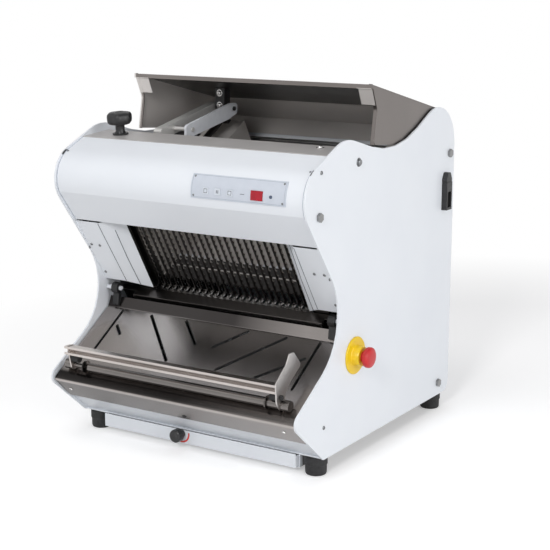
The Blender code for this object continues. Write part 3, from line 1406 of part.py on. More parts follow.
def emergency_stop(body, looks):
    face = WIDTH / 2 + GAP
    centre = (face, ESTOP_Y, ESTOP_Z)
    bore = ESTOP_STEM_RADIUS + BORE_CLEARANCE
    profile = [
        (0, 0),
        (ESTOP_PLATE_RADIUS, 0),
        (ESTOP_PLATE_RADIUS, ESTOP_PLATE_THICKNESS - 1),
        (ESTOP_PLATE_RADIUS - 2, ESTOP_PLATE_THICKNESS),
        (ESTOP_COLLAR_RADIUS, ESTOP_PLATE_THICKNESS),
        (ESTOP_COLLAR_RADIUS - 2, ESTOP_COLLAR_REACH),
        (bore, ESTOP_COLLAR_REACH),
        (bore, 1),
        (0, 1),
    ]
    piece("estop_base", turned(profile, centre, "x", 28), looks["yellow"], body)
    reach = ESTOP_REACH - GAP
    back = ESTOP_HEAD_BACK
    stem_end = 1 + GAP + ESTOP_TRAVEL
    profile = [
        (0, stem_end),
        (ESTOP_STEM_RADIUS, stem_end),
        (ESTOP_STEM_RADIUS, back),
        (ESTOP_HEAD_RADIUS - 3, back),
        (ESTOP_HEAD_RADIUS, back + 3),
        (ESTOP_HEAD_RADIUS, reach - 6),
        (ESTOP_HEAD_RADIUS - 3, reach - 2),
        (ESTOP_HEAD_RADIUS * 0.5, reach),
        (0, reach),
    ]
    piece("estop_button", turned(profile, centre, "x", 24), looks["red"], body, centre)


def inlet(body, look):
    face = WIDTH / 2 + GAP
    half = INLET_WIDTH / 2
    ys = (INLET_Y - half, INLET_Y + half)
    housing = block((face, face + INLET_DEPTH), ys, (INLET_LOW, INLET_HIGH))
    recess = block(
        (face + INLET_DEPTH - 6, face + INLET_DEPTH + 5),
        (ys[0] + 4, ys[1] - 4),
        (INLET_LOW + 6, INLET_HIGH - 22),
    )
    piece("inlet_housing", housing, look, body, cuts=[recess])
    low = INLET_HIGH + GAP
    outline = [
        (ys[0], low),
        (ys[1], low),
        (ys[1], low + 6, 3),
        (ys[1] - 7, low + INLET_CAP_HEIGHT, 5),
        (ys[0] + 7, low + INLET_CAP_HEIGHT, 5),
        (ys[0], low + 6, 3),
    ]
    piece("inlet_cap", prism(rounded(outline), face, face + INLET_DEPTH - 1), look, body)


def tie_bars(body, look):
    """Bars across the body, with a hexagon head outside each panel."""
    outer = WIDTH / 2 + GAP
    bars = (
        ("tie_bar_front", TIE_FRONT, TIE_RADIUS),
        ("tie_bar_rear", TIE_REAR, TIE_RADIUS),
        ("lid_hinge_rod", LID_HINGE, LID_ROD_RADIUS),
    )
    for name, point, radius in bars:
        bar = cross_rod(point, -outer - 2, outer + 2, radius)
        heads = [
            cross_rod(point, side * outer, side * (outer + HEX_HEIGHT), HEX_RADIUS, 6)
            for side in (-1, 1)
        ]
        piece(name, bar, look, body, joins=heads)


def build():
    for obj in list(bpy.data.objects):
        bpy.data.objects.remove(obj)
    looks = {
        "white": material("white_paint", (0.86, 0.88, 0.9), 0.0, 0.35),
        "steel": material("stainless", (0.62, 0.6, 0.58), 1.0, 0.3),
        "black": material("black_plastic", (0.02, 0.02, 0.02), 0.0, 0.45),
        "rubber": material("black_rubber", (0.03, 0.03, 0.03), 0.0, 0.75),
        "grey": material("grey_foil", (0.62, 0.66, 0.7), 0.0, 0.4),
        "light": material("light_foil", (0.8, 0.82, 0.84), 0.0, 0.45),
        "dark_red": material("display_red", (0.35, 0.01, 0.03), 0.0, 0.15),
        "red": material("red_plastic", (0.75, 0.03, 0.02), 0.0, 0.3),
        "yellow": material("yellow_plastic", (0.9, 0.72, 0.02), 0.0, 0.4),
        "cast": material("cast_grey", (0.3, 0.31, 0.33), 0.7, 0.5),
    }
    middle_x = (LEFT_REACH + RIGHT_REACH) / 2
    front_reach = min(point.x for point in rounded(SIDE_OUTLINE))
    middle_y = (front_reach + REAR_EDGE) / 2
    body = empty("machine", None, (-middle_x, -middle_y, 0))
    plane = empty("blade_plane", body, (0, BLADE_TOP_Y, BLADE_TOP_Z), BLADE_TILT)

    side_panels(body, looks["white"])
    base_and_feet(body, looks["white"], looks["rubber"])
    lower_front_panel(body, looks["white"])
    rear_panel(body, looks["white"])
    front_hood(body, looks["white"])
    hood_top_plate(body, looks["steel"])
    control_plate(body, looks)
    clamp_knob(body, looks["black"])
    chute(plane, looks["steel"])
    pusher(plane, looks)
    blade_frame("blade_frame_front", -1, plane, looks["steel"])
    blade_frame("blade_frame_rear", 1, plane, looks["steel"])
    frame_guides(plane, looks["cast"])
    guards(body, looks["white"])
    slice_ramp(plane, looks["steel"])
    slice_tray(body, looks)
    loaf_stop(body, looks)
    crumb_drawer(body, looks)
    lid(body, looks)
    hold_down(body, looks)
    crank_drive(body, looks)
    motor(body, looks["cast"])
    emergency_stop(body, looks)
    inlet(body, looks["black"])
    tie_bars(body, looks["steel"])


build()
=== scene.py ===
"""Looks of the table-top bread slicer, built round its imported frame.

Lengths are in the machine's own millimetres: X from its middle plane, Y from the front (-) to the
rear edge of the side panels, Z up from the floor. at() turns them into the frame's metres.
"""

import json
import math

import bmesh
import bpy
from mathutils import Matrix, Vector

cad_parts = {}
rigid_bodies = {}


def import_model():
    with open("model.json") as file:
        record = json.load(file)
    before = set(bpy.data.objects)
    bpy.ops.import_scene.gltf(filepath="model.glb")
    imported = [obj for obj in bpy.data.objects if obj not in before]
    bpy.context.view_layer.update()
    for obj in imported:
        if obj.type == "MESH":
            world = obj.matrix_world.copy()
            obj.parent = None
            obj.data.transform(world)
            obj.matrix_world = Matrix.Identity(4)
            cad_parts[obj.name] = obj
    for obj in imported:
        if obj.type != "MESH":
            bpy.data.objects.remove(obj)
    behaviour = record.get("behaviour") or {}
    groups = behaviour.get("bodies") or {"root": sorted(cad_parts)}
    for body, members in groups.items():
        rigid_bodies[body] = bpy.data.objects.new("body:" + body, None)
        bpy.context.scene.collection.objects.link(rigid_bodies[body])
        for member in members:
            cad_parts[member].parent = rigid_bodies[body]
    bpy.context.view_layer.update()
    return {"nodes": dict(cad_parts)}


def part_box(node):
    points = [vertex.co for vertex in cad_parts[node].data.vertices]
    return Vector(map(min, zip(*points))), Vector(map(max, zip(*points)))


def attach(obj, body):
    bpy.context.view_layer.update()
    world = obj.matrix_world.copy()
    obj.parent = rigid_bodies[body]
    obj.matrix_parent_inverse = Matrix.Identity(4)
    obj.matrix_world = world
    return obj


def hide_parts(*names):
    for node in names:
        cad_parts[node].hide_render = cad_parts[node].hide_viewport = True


for old in list(bpy.data.objects):
    bpy.data.objects.remove(old)

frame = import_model()
nodes = frame["nodes"]

MM = 0.001
SIDEWAYS, REARWARD, UPWARD = (1, 0, 0), (0, 1, 0), (0, 0, 1)
REAR_EDGE = 268.0
LEFT_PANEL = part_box("left_side_panel")
RIGHT_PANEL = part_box("right_side_panel")
MIDDLE_X = (LEFT_PANEL[0].x + RIGHT_PANEL[1].x) / 2
HALF_WIDTH = (RIGHT_PANEL[1].x - MIDDLE_X) / MM
ORIGIN = Matrix.Translation((MIDDLE_X, RIGHT_PANEL[1].y - REAR_EDGE * MM, 0))
TO_FRAME = ORIGIN @ Matrix.Scale(MM, 4)

BLADE_TILT = math.radians(30.3)
BLADE_TOP = (0.0, -246.0, 458.0)
BLADE_PLANE = Matrix.Translation(BLADE_TOP) @ Matrix.Rotation(BLADE_TILT, 4, "X")

# Camera, solved from the photo
CAMERA_AZIMUTH = 32.56
CAMERA_ELEVATION = 12.37
CAMERA_DISTANCE = 3058.4
CAMERA_TARGET = (0.0, 0.0, 326.5)
CAMERA_LENS = 88.46
SENSOR = 36.0


def at(x, y, z):
    """A point in the frame's metres."""
    return TO_FRAME @ Vector((x, y, z))


def blade_point(depth, up):
    """(y, z) of a point behind the blade plane's origin by depth, and up along it."""
    turned = BLADE_PLANE @ Vector((0, depth, up))
    return turned.y, turned.z


# Node helpers


def material(name, colour, metallic=0.0, roughness=0.5):
    """A new material, with its node tree and its Principled shader."""
    made = bpy.data.materials.new(name)
    made.use_nodes = True
    shader = made.node_tree.nodes["Principled BSDF"]
    shader.inputs["Base Color"].default_value = (*colour, 1)
    shader.inputs["Metallic"].default_value = metallic
    shader.inputs["Roughness"].default_value = roughness
    return made, made.node_tree, shader


def add(tree, kind, **inputs):
    """A new node with some of its inputs set."""
    made = tree.nodes.new(kind)
    for name, value in inputs.items():
        made.inputs[name].default_value = value
    return made


def coordinates(tree, stretch=(1, 1, 1)):
    """Object coordinates, in metres, stretched along the axes."""
    source = tree.nodes.new("ShaderNodeTexCoord")
    mapping = add(tree, "ShaderNodeMapping", Scale=stretch)
    tree.links.new(source.outputs["Object"], mapping.inputs["Vector"])
    return mapping.outputs["Vector"]


def noise(tree, vector, scale, detail=3.0, rough=0.5):
    made = add(tree, "ShaderNodeTexNoise", Scale=scale, Detail=detail, Roughness=rough)
    tree.links.new(vector, made.inputs["Vector"])
    return made.outputs["Fac"]


def between(tree, factor, low, high, start=0.3, end=0.7):
    """A number that goes from low to high as the factor goes from start to end."""
    made = tree.nodes.new("ShaderNodeMapRange")
    made.inputs["From Min"].default_value = start
    made.inputs["From Max"].default_value = end
    made.inputs["To Min"].default_value = low
    made.inputs["To Max"].default_value = high
    tree.links.new(factor, made.inputs["Value"])
    return made.outputs["Result"]


def blend_colours(tree, factor, low, high):
    """A colour from low, at factor 0, to high; each is a tuple or another node's output."""
    made = tree.nodes.new("ShaderNodeMix")
    made.data_type = "RGBA"
    tree.links.new(factor, made.inputs["Factor"])
    for place, colour in (("A", low), ("B", high)):
        if isinstance(colour, tuple):
            made.inputs[place].default_value = (*colour, 1)
        else:
            tree.links.new(colour, made.inputs[place])
    return made.outputs["Result"]


def bump(tree, shader, height, strength, distance):
    made = add(tree, "ShaderNodeBump", Strength=strength, Distance=distance)
    tree.links.new(height, made.inputs["Height"])
    tree.links.new(made.outputs["Normal"], shader.inputs["Normal"])


def vector_maths(tree, operation, vector, other):
    made = tree.nodes.new("ShaderNodeVectorMath")
    made.operation = operation
    made.inputs[1].default_value = other
    tree.links.new(vector, made.inputs[0])
    return made.outputs["Value"]


def dot(tree, direction):
    """Distance in metres along a direction, from the frame's origin."""
    source = tree.nodes.new("ShaderNodeTexCoord")
    return vector_maths(tree, "DOT_PRODUCT", source.outputs["Object"], direction)


def distance(tree, place):
    """Distance in metres from a place in the frame."""
    return vector_maths(tree, "DISTANCE", coordinates(tree), place)


def maths(tree, operation, *values):
    """A Math node; each value is a number or another node's output."""
    made = tree.nodes.new("ShaderNodeMath")
    made.operation = operation
    for value, place in zip(values, made.inputs):
        if isinstance(value, (int, float)):
            place.default_value = value
        else:
            tree.links.new(value, place)
    return made.outputs[0]


def above(tree, value, limit):
    return maths(tree, "GREATER_THAN", value, limit)


def below(tree, value, limit):
    return maths(tree, "LESS_THAN", value, limit)


def product(tree, first, *others):
    for other in others:
        first = maths(tree, "MULTIPLY", first, other)
    return first


def off_middle(tree):
    """Distance in metres from the machine's middle plane, to either side."""
    return maths(tree, "ABSOLUTE", maths(tree, "ADD", dot(tree, SIDEWAYS), -MIDDLE_X))


def repaint(tree, factor, colour):
    """A second colour over the first, where the factor is 1."""
    base = tree.nodes["Principled BSDF"].inputs["Base Color"]
    tree.links.new(blend_colours(tree, factor, base.links[0].from_socket, colour), base)


def paint_paler(tree, factor, colour, metallic):
    """Painted light: a paler colour, with a less mirror-like metal, where the factor is 1."""
    repaint(tree, factor, colour)
    share = tree.nodes["Principled BSDF"].inputs["Metallic"]
    tree.links.new(between(tree, factor, share.default_value, metallic, 0, 1), share)


# Materials

PAINT = (0.83, 0.86, 0.9)
PAINT_SHADE = (0.805, 0.835, 0.88)
# painted shade inside the machine, on the side panels' inner faces
INSIDE_SHADE_COLOUR = (0.06, 0.06, 0.062)
INSIDE_SHADE_DEPTH = -15.0
INSIDE_SHADE_TOP = 0.628
# painted shade on the base plate inside the machine
BASE_SHADE_COLOUR = (0.07, 0.07, 0.072)
BASE_SHADE_FRONT = -288.0


def powder_coat(name):
    """White powder coat: fine orange peel, faint clouding and small changes of gloss."""
    made, tree, shader = material(name, PAINT)
    vector = coordinates(tree)
    tint = between(tree, noise(tree, vector, 7.0, 4.0), 0, 1)
    tree.links.new(blend_colours(tree, tint, PAINT_SHADE, PAINT), shader.inputs["Base Color"])
    gloss = between(tree, noise(tree, vector, 38.0, 4.0), 0.32, 0.42)
    tree.links.new(gloss, shader.inputs["Roughness"])
    bump(tree, shader, noise(tree, vector, 900.0, 2.0), 0.1, 0.0001)
    return made


def painted_shade_inside(made):
    """Painted shade: dark inner faces of the side panels, between the blades and the rear panel.
    """
    tree = made.node_tree
    inner = below(tree, off_middle(tree), (HALF_WIDTH - 2.0) * MM)
    backward = (0, math.cos(BLADE_TILT), math.sin(BLADE_TILT))
    start = at(0, *blade_point(INSIDE_SHADE_DEPTH, 0.0)).dot(Vector(backward))
    behind = above(tree, dot(tree, backward), start)
    low = below(tree, dot(tree, UPWARD), INSIDE_SHADE_TOP)
    enclosed = below(tree, dot(tree, REARWARD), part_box("rear_panel")[0].y)
    repaint(tree, product(tree, inner, enclosed, behind, low), INSIDE_SHADE_COLOUR)
    return made


def painted_shade_base(made):
    """The base plate: white in front, and darkened inside the machine as painted shade."""
    tree = made.node_tree
    inside = above(tree, dot(tree, REARWARD), at(0, BASE_SHADE_FRONT, 0).y)
    repaint(tree, inside, BASE_SHADE_COLOUR)
    return made


def tray_painted_light(made):
    """The tray: a painted sheen round one place on its floor, and painted shade on its rear edge,
    lip and front flange.
    """
    tree = made.node_tree
    height, across, along = dot(tree, UPWARD), dot(tree, SIDEWAYS), dot(tree, REARWARD)
    # painted sheen: paler and less metallic round one place on the floor
    sheen_spot = distance(tree, at(-138.0, -262.0, 236.0))
    paint_paler(tree, between(tree, sheen_spot, 0.8, 0, 0.02, 0.13), (0.62, 0.59, 0.57), 0.72)
    # painted shade along the rear edge, fading towards the right
    edge = between(tree, height, 0, 1, 0.2585, 0.2625)
    edge_fade = between(tree, across, 1.0, 0.35, 0.02, 0.2)
    repaint(tree, product(tree, edge, edge_fade), (0.045, 0.041, 0.04))
    # painted shade on the front lip
    front = between(tree, along, 1, 0, at(0, -394.0, 0).y, at(0, -386.0, 0).y)
    lip = between(tree, height, 0, 1, 0.1375, 0.14)
    lip_fade = between(tree, across, 1.0, 0.6, 0.0, 0.3)
    repaint(tree, product(tree, front, lip, lip_fade), (0.035, 0.032, 0.031))
    # painted shade on the front flange, lighter towards the right
    flange = between(tree, height, 1, 0, 0.131, 0.1345)
    flange_fade = between(tree, across, 1.0, 0.55, -0.2, 0.3)
    repaint(tree, product(tree, flange, flange_fade), (0.12, 0.11, 0.106))
    return made


def ramp_painted_light(made):
    """The ramp, paler towards the right as painted light."""
    tree = made.node_tree
    # painted light: paler towards the right
    repaint(tree, between(tree, dot(tree, SIDEWAYS), 0, 1, -0.05, 0.15), (0.25, 0.23, 0.22))
    return made


LID_SLOPE = (0, 0.2294, 0.9733)
LID_FRONT_EDGE = (0.0, -111.0, 774.0)
LID_SKIN = 0.0008
LID_CHEEK = 0.299
TAB_HEIGHTS = (0.7305, 0.766)
TAB_REACH = (0.266, 0.3)


def lid_painted_light(made):
    """The lid: painted shade on its underside, and painted light that makes its rear slope, left
    cheek's inside and corner tabs paler.
    """
    tree = made.node_tree
    across, along, height = (dot(tree, axis) for axis in (SIDEWAYS, REARWARD, UPWARD))
    outward = off_middle(tree)
    level = at(*LID_FRONT_EDGE).dot(Vector(LID_SLOPE)) - LID_SKIN
    # painted shade: the underside near black
    under = product(
        tree,
        below(tree, dot(tree, LID_SLOPE), level),
        below(tree, outward, LID_CHEEK),
        above(tree, along, at(0, -84.0, 0).y),
    )
    repaint(tree, under, (0.035, 0.032, 0.031))
    # painted light: a paler rear slope, left cheek and corner tabs
    rear = above(tree, along, at(0, 190.0, 0).y)
    cheek = below(tree, across, at(-299.0, 0, 0).x)
    tab = product(
        tree,
        above(tree, outward, TAB_REACH[0]),
        below(tree, outward, TAB_REACH[1]),
        below(tree, along, at(0, -70.0, 0).y),
        above(tree, height, TAB_HEIGHTS[0]),
        below(tree, height, TAB_HEIGHTS[1]),
    )
    painted_paler = maths(tree, "MAXIMUM", maths(tree, "MAXIMUM", rear, cheek), tab)
    paint_paler(tree, painted_paler, (0.7, 0.665, 0.64), 0.35)
    return made


GRAIN_STRETCH = 0.02
GRAIN_SCALE = 620.0
TONE_SPREAD = 0.08


def brushed(name, colour, along, gloss, metallic=1.0):
    """Brushed steel: a fine grain along one axis under soft changes of tone and gloss."""
    made, tree, shader = material(name, colour, metallic, gloss)
    stretch = [1.0, 1.0, 1.0]
    stretch["xyz".index(along)] = GRAIN_STRETCH
    fine = noise(tree, coordinates(tree, stretch), GRAIN_SCALE, 1.0)
    cloud = noise(tree, coordinates(tree), 5.5, 2.0, 0.45)
    mixed = maths(tree, "ADD", product(tree, fine, 0.2), product(tree, cloud, 0.8))
    dark = tuple(channel * (1 - TONE_SPREAD) for channel in colour)
    light = tuple(channel * (1 + TONE_SPREAD) for channel in colour)
    tone = between(tree, mixed, 0, 1, 0.36, 0.64)
    tree.links.new(blend_colours(tree, tone, dark, light), shader.inputs["Base Color"])
    patches = noise(tree, coordinates(tree), 11.0, 2.0)
    rough = between(tree, patches, gloss - 0.03, gloss + 0.02)
    tree.links.new(rough, shader.inputs["Roughness"])
    bump(tree, shader, fine, 0.04, 0.00002)
    return made


def moulded(name, colour, shade, gloss, texture=700.0, depth=0.00008, metallic=0.0):
    """Moulded plastic, rubber or a casting: a fine matt texture with uneven gloss."""
    made, tree, shader = material(name, colour, metallic)
    vector = coordinates(tree)
    tint = between(tree, noise(tree, vector, 60.0, 5.0), 0, 1)
    tree.links.new(blend_colours(tree, tint, shade, colour), shader.inputs["Base Color"])
    rough = between(tree, noise(tree, vector, 140.0, 3.0), *gloss)
    tree.links.new(rough, shader.inputs["Roughness"])
    bump(tree, shader, noise(tree, vector, texture, 2.0), 0.25, depth)
    return made


WHITE = powder_coat("white_powder_coat")
SHELL = painted_shade_inside(powder_coat("white_powder_coat_shell"))
BASE = painted_shade_base(powder_coat("white_powder_coat_base"))
TRAY = tray_painted_light(brushed("stainless_tray", (0.43, 0.395, 0.378), "x", 0.25))
RAMP = ramp_painted_light(brushed("stainless_ramp", (0.14, 0.129, 0.124), "x", 0.31))
RAIL = brushed("stainless_rail", (0.6, 0.555, 0.53), "x", 0.31)
STEEL_TOP = brushed("stainless_top_plate", (0.55, 0.53, 0.52), "x", 0.42, 0.35)
STEEL_LID = lid_painted_light(brushed("stainless_lid", (0.22, 0.2, 0.19), "x", 0.31))
STEEL_Z = brushed("stainless_grain_up", (0.6, 0.575, 0.56), "z", 0.31)
CHUTE = brushed("stainless_chute", (0.62, 0.59, 0.565), "y", 0.45, 0.2)
ARM = brushed("satin_arm", (0.66, 0.65, 0.63), "x", 0.35, 0.4)
TUBE = brushed("steel_tube", (0.2, 0.185, 0.177), "x", 0.24)
TIE = brushed("steel_tie", (0.3, 0.3, 0.3), "x", 0.31)
# steel darkened as painted shade, for the pusher and the blade frames' rails
SHADE_STEEL = brushed("dark_steel", (0.1, 0.094, 0.09), "x", 0.45)
BRIGHT = brushed("bright_steel", (0.66, 0.65, 0.64), "x", 0.2)
# blade flats painted dark as shade, and their bevels painted bright as glints
BLADE = brushed("blade_steel", (0.105, 0.098, 0.094), "z", 0.34)
EDGE_GLINT = brushed("ground_edge", (0.8, 0.78, 0.75), "y", 0.22)
ZINC = moulded(
    "dark_zinc", (0.3, 0.31, 0.32), (0.2, 0.205, 0.21), (0.3, 0.42), 900.0, 0.00005, 1.0
)
CAST = moulded(
    "grey_casting", (0.12, 0.122, 0.128), (0.09, 0.092, 0.098), (0.45, 0.6), 500.0, 0.0002
)
BLACK = moulded("black_plastic", (0.02, 0.02, 0.021), (0.012, 0.012, 0.013), (0.32, 0.5))
RUBBER = moulded("black_rubber", (0.022, 0.022, 0.023), (0.014, 0.014, 0.015), (0.6, 0.8))
RED = moulded("red_plastic", (0.6, 0.022, 0.028), (0.52, 0.016, 0.02), (0.28, 0.42))
# a near-black sheet of painted shade on the chute's floor
SHADE_SHEET = moulded("slide_sheet", (0.05, 0.048, 0.047), (0.04, 0.038, 0.037), (0.4, 0.5))
# painted shadow in the tray's slots
SLOT_SHADOW = moulded("dark_edging", (0.009, 0.009, 0.009), (0.006, 0.006, 0.006), (0.75, 0.9))
YELLOW = moulded("yellow_plastic", (0.86, 0.6, 0.012), (0.8, 0.54, 0.01), (0.3, 0.45))
FOIL = moulded("grey_foil", (0.61, 0.65, 0.72), (0.58, 0.62, 0.69), (0.35, 0.5), 1200.0, 0.00004)
KEY = moulded("key_foil", (0.7, 0.74, 0.8), (0.67, 0.71, 0.77), (0.35, 0.5), 1200.0, 0.00004)
PRINT = moulded("grey_print", (0.14, 0.155, 0.18), (0.11, 0.12, 0.145), (0.4, 0.55))
LENS = moulded("smoked_lens", (0.1, 0.13, 0.19), (0.07, 0.09, 0.14), (0.1, 0.2), 300.0, 0.00002)
RED_PRINT = moulded("red_print", (0.72, 0.06, 0.05), (0.66, 0.045, 0.04), (0.4, 0.55))
WINDOW = moulded(
    "red_window", (0.42, 0.004, 0.018), (0.34, 0.003, 0.014), (0.16, 0.24), 300.0, 0.00002
)
NYLON = moulded("white_nylon", (0.74, 0.76, 0.8), (0.68, 0.7, 0.74), (0.35, 0.5))
BORDER = moulded("pale_print", (0.42, 0.46, 0.53), (0.38, 0.42, 0.49), (0.4, 0.55))

LOOKS = {
    SHELL: ["left_side_panel", "right_side_panel"],
    WHITE: [
        "lower_front_panel",
        "rear_panel",
        "front_hood",
        "left_guard",
        "right_guard",
        "crumb_drawer",
    ],
    BASE: ["base_plate"],
    TRAY: ["slice_tray"],
    RAMP: ["slice_ramp"],
    RAIL: ["stop_rail"],
    ARM: ["hold_down_arm"],
    TUBE: ["stop_tube"],
    TIE: ["tie_bar_front", "tie_bar_rear", "lid_hinge_rod"],
    STEEL_TOP: ["hood_top_plate"],
    STEEL_LID: ["lid"],
    CHUTE: ["loading_chute"],
    STEEL_Z: ["stop_end_plate"],
    SHADE_STEEL: ["pusher_comb", "pusher_rod_left", "pusher_rod_right"],
    BRIGHT: ["crankshaft"],
    CAST: [
        "frame_guide_left",
        "frame_guide_right",
        "connecting_rod_front",
        "connecting_rod_rear",
        "crank_bearing_left",
        "crank_bearing_right",
        "driven_pulley",
        "motor_pulley",
        "motor",
    ],
    BLACK: [
        "tray_hook_left",
        "tray_hook_right",
        "hold_down_bracket",
        "inlet_housing",
        "inlet_cap",
    ],
    RUBBER: ["stop_bumper_left", "stop_bumper_right", "drive_belt"],
    FOIL: ["control_plate"],
    LENS: ["indicator_lamp"],
    KEY: ["start_key", "stop_key", "mode_key"],
    WINDOW: ["display_window"],
    NYLON: ["hold_down_plate"],
}
KEYS = ("start_key", "stop_key", "mode_key")
THIN_TRIM = ("control_plate", "indicator_lamp", "display_window", *KEYS)
TRIM_EDGE, EDGE = 0.15, 0.5
CREASE_ANGLES = {"front_hood": 12.0}
CREASE_ANGLE = 30.0
BEVEL_ANGLE = 40.0
SMOOTH_ANGLE = 32.0
WELD_DISTANCE = 1e-5


def smooth(obj, angle):
    obj.data.shade_smooth()
    obj.data.set_sharp_from_angle(angle=math.radians(angle))


def creases(angle):
    """A modifier group: edges sharper than the angle stay sharp, and the rest is smooth."""
    group = bpy.data.node_groups.new(f"creases_{angle:.0f}", "GeometryNodeTree")
    for way in ("INPUT", "OUTPUT"):
        group.interface.new_socket("Geometry", in_out=way, socket_type="NodeSocketGeometry")
    entry = group.nodes.new("NodeGroupInput")
    leave = group.nodes.new("NodeGroupOutput")
    turn = group.nodes.new("GeometryNodeInputMeshEdgeAngle")
    sharper = group.nodes.new("FunctionNodeCompare")
    sharper.data_type = "FLOAT"
    sharper.operation = "GREATER_THAN"
    sharper.inputs[1].default_value = math.radians(angle)
    group.links.new(turn.outputs["Unsigned Angle"], sharper.inputs[0])
    faces = group.nodes.new("GeometryNodeSetShadeSmooth")
    faces.domain = "FACE"
    edges = group.nodes.new("GeometryNodeSetShadeSmooth")
    edges.domain = "EDGE"
    edges.inputs["Shade Smooth"].default_value = False
    group.links.new(entry.outputs[0], faces.inputs["Geometry"])
    group.links.new(faces.outputs["Geometry"], edges.inputs["Geometry"])
    group.links.new(sharper.outputs["Result"], edges.inputs["Selection"])
    group.links.new(edges.outputs["Geometry"], leave.inputs[0])
    return group


CREASES = {angle: creases(angle) for angle in {CREASE_ANGLE, *CREASE_ANGLES.values()}}


def dress(name, look):
    """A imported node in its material, welded, with its edges softened and its rounds smooth."""
    obj = nodes[name]
    obj.data.materials.clear()
    obj.data.materials.append(look)
    normals = obj.data.attributes.get("custom_normal")
    if normals:
        obj.data.attributes.remove(normals)
    weld = obj.modifiers.new("Weld", "WELD")
    weld.merge_threshold = WELD_DISTANCE
    crease = obj.modifiers.new("Creases", "NODES")
    crease.node_group = CREASES[CREASE_ANGLES.get(name, CREASE_ANGLE)]
    edge = obj.modifiers.new("Edges", "BEVEL")
    edge.width = (TRIM_EDGE if name in THIN_TRIM else EDGE) * MM
    edge.segments = 2
    edge.limit_method = "ANGLE"
    edge.angle_limit = math.radians(BEVEL_ANGLE)
    edge.harden_normals = True


for look, names in LOOKS.items():
    for name in names:
        dress(name, look)


# Modelled pieces


def piece(name, shape, look, body, place=None, angle=SMOOTH_ANGLE):
    """A scene piece from a bmesh in machine millimetres, or in place's own frame."""
    mesh = bpy.data.meshes.new(name)
    bmesh.ops.recalc_face_normals(shape, faces=shape.faces)
    shape.to_mesh(mesh)
    shape.free()
    mesh.transform(TO_FRAME @ (place or Matrix.Identity(4)))
    for one in look if isinstance(look, (list, tuple)) else [look]:
        mesh.materials.append(one)
    obj = bpy.data.objects.new(name, mesh)
    bpy.context.scene.collection.objects.link(obj)
    smooth(obj, angle)
    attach(obj, body)
    return obj


def facing(centre, normal):
    """A frame at the centre whose Z is the normal."""
    turn = Vector(normal).to_track_quat("Z", "Y").to_matrix().to_4x4()
    return Matrix.Translation(Vector(centre)) @ turn


def skin(shape, rows, ends=True):
    """Faces between rows of vertices, and over the first and the last row."""
    count = len(rows[0])
    for lower, upper in zip(rows, rows[1:]):
        for i in range(count):
            j = (i + 1) % count
            shape.faces.new((lower[i], lower[j], upper[j], upper[i]))
    if ends:
        shape.faces.new(rows[0])
        shape.faces.new(rows[-1])
    return shape


def lathe(profile, sides=48, wave=None):
    """A profile of (radius, height) pairs spun about Z; wave(turn, height) scales the radius."""
    shape = bmesh.new()
    rings = []
    for radius, height in profile:
        if radius == 0:
            rings.append([shape.verts.new((0, 0, height))])
            continue
        ring = []
        for i in range(sides):
            turn = 2 * math.pi * i / sides
            reach = radius * (wave(turn, height) if wave else 1)
            ring.append(shape.verts.new((reach * math.cos(turn), reach * math.sin(turn), height)))
        rings.append(ring)
    for lower, upper in zip(rings, rings[1:]):
        for i in range(sides):
            j = (i + 1) % sides
            if len(lower) == 1:
                shape.faces.new((lower[0], upper[j], upper[i]))
            elif len(upper) == 1:
                shape.faces.new((lower[i], lower[j], upper[0]))
            else:
                shape.faces.new((lower[i], lower[j], upper[j], upper[i]))
    return shape


def join(*shapes):
    """One bmesh from several, which are freed."""
    whole = bmesh.new()
    for shape in shapes:
        mesh = bpy.data.meshes.new("part")
        shape.to_mesh(mesh)
        shape.free()
        whole.from_mesh(mesh)
        bpy.data.meshes.remove(mesh)
    return whole


def moved(shape, matrix):
    bmesh.ops.transform(shape, matrix=matrix, verts=shape.verts)
    return shape


def hexagon(turn, half):
    """The reach of a hexagon, half as wide between its flats, in the direction turn."""
    return half / math.cos((turn + math.pi / 6) % (math.pi / 3) - math.pi / 6)


SCREW_SIDES = 30
WASHER_HEIGHT = 1.0


def socket_screw(radius, height, washer=0.0):
    """A button-head screw with a hexagon socket, and a washer where one is given."""
    shape = lathe(
        [
            (radius * 0.9, 0), (radius, height * 0.15), (radius * 0.97, height * 0.45),
            (radius * 0.8, height * 0.85), (radius * 0.6, height),
        ],
        SCREW_SIDES,
    )
    top = [v for v in shape.verts if abs(v.co.z - height) < 1e-6]
    top.sort(key=lambda v: math.atan2(v.co.y, v.co.x))
    rows = [top]
    for depth in (height, height * 0.35):
        row = []
        for v in top:
            turn = math.atan2(v.co.y, v.co.x)
            reach = hexagon(turn, radius * 0.42)
            row.append(shape.verts.new((reach * math.cos(turn), reach * math.sin(turn), depth)))
        rows.append(row)
    skin(shape, rows, ends=False)
    shape.faces.new(rows[-1])
    if not washer:
        return shape
    ring = lathe(
        [
            (radius * 0.8, 0), (washer, 0), (washer, WASHER_HEIGHT - 0.3),
            (washer - 0.4, WASHER_HEIGHT), (radius * 0.8, WASHER_HEIGHT),
        ],
        SCREW_SIDES,
    )
    return join(moved(shape, Matrix.Translation((0, 0, WASHER_HEIGHT))), ring)


BOLT_SIDES = 24
BOLT_SEAT = 1.2
CHAMFER = 0.9


def hex_bolt(across, height, washer):
    """A hexagon head with a round chamfered top, on a round washer."""
    half = across / 2
    shape = bmesh.new()
    rows = []
    for rise, chamfered in ((0, False), (height * 0.75, False), (height, True)):
        row = []
        for i in range(BOLT_SIDES):
            turn = 2 * math.pi * i / BOLT_SIDES
            reach = half * CHAMFER if chamfered else hexagon(turn, half)
            corner = (reach * math.cos(turn), reach * math.sin(turn), BOLT_SEAT + rise)
            row.append(shape.verts.new(corner))
        rows.append(row)
    skin(shape, rows)
    seat = [(0, 0), (washer, 0), (washer, 0.8), (washer - 0.5, BOLT_SEAT), (0, BOLT_SEAT)]
    return join(shape, lathe(seat, 36))


# Blade frames with ground scallops

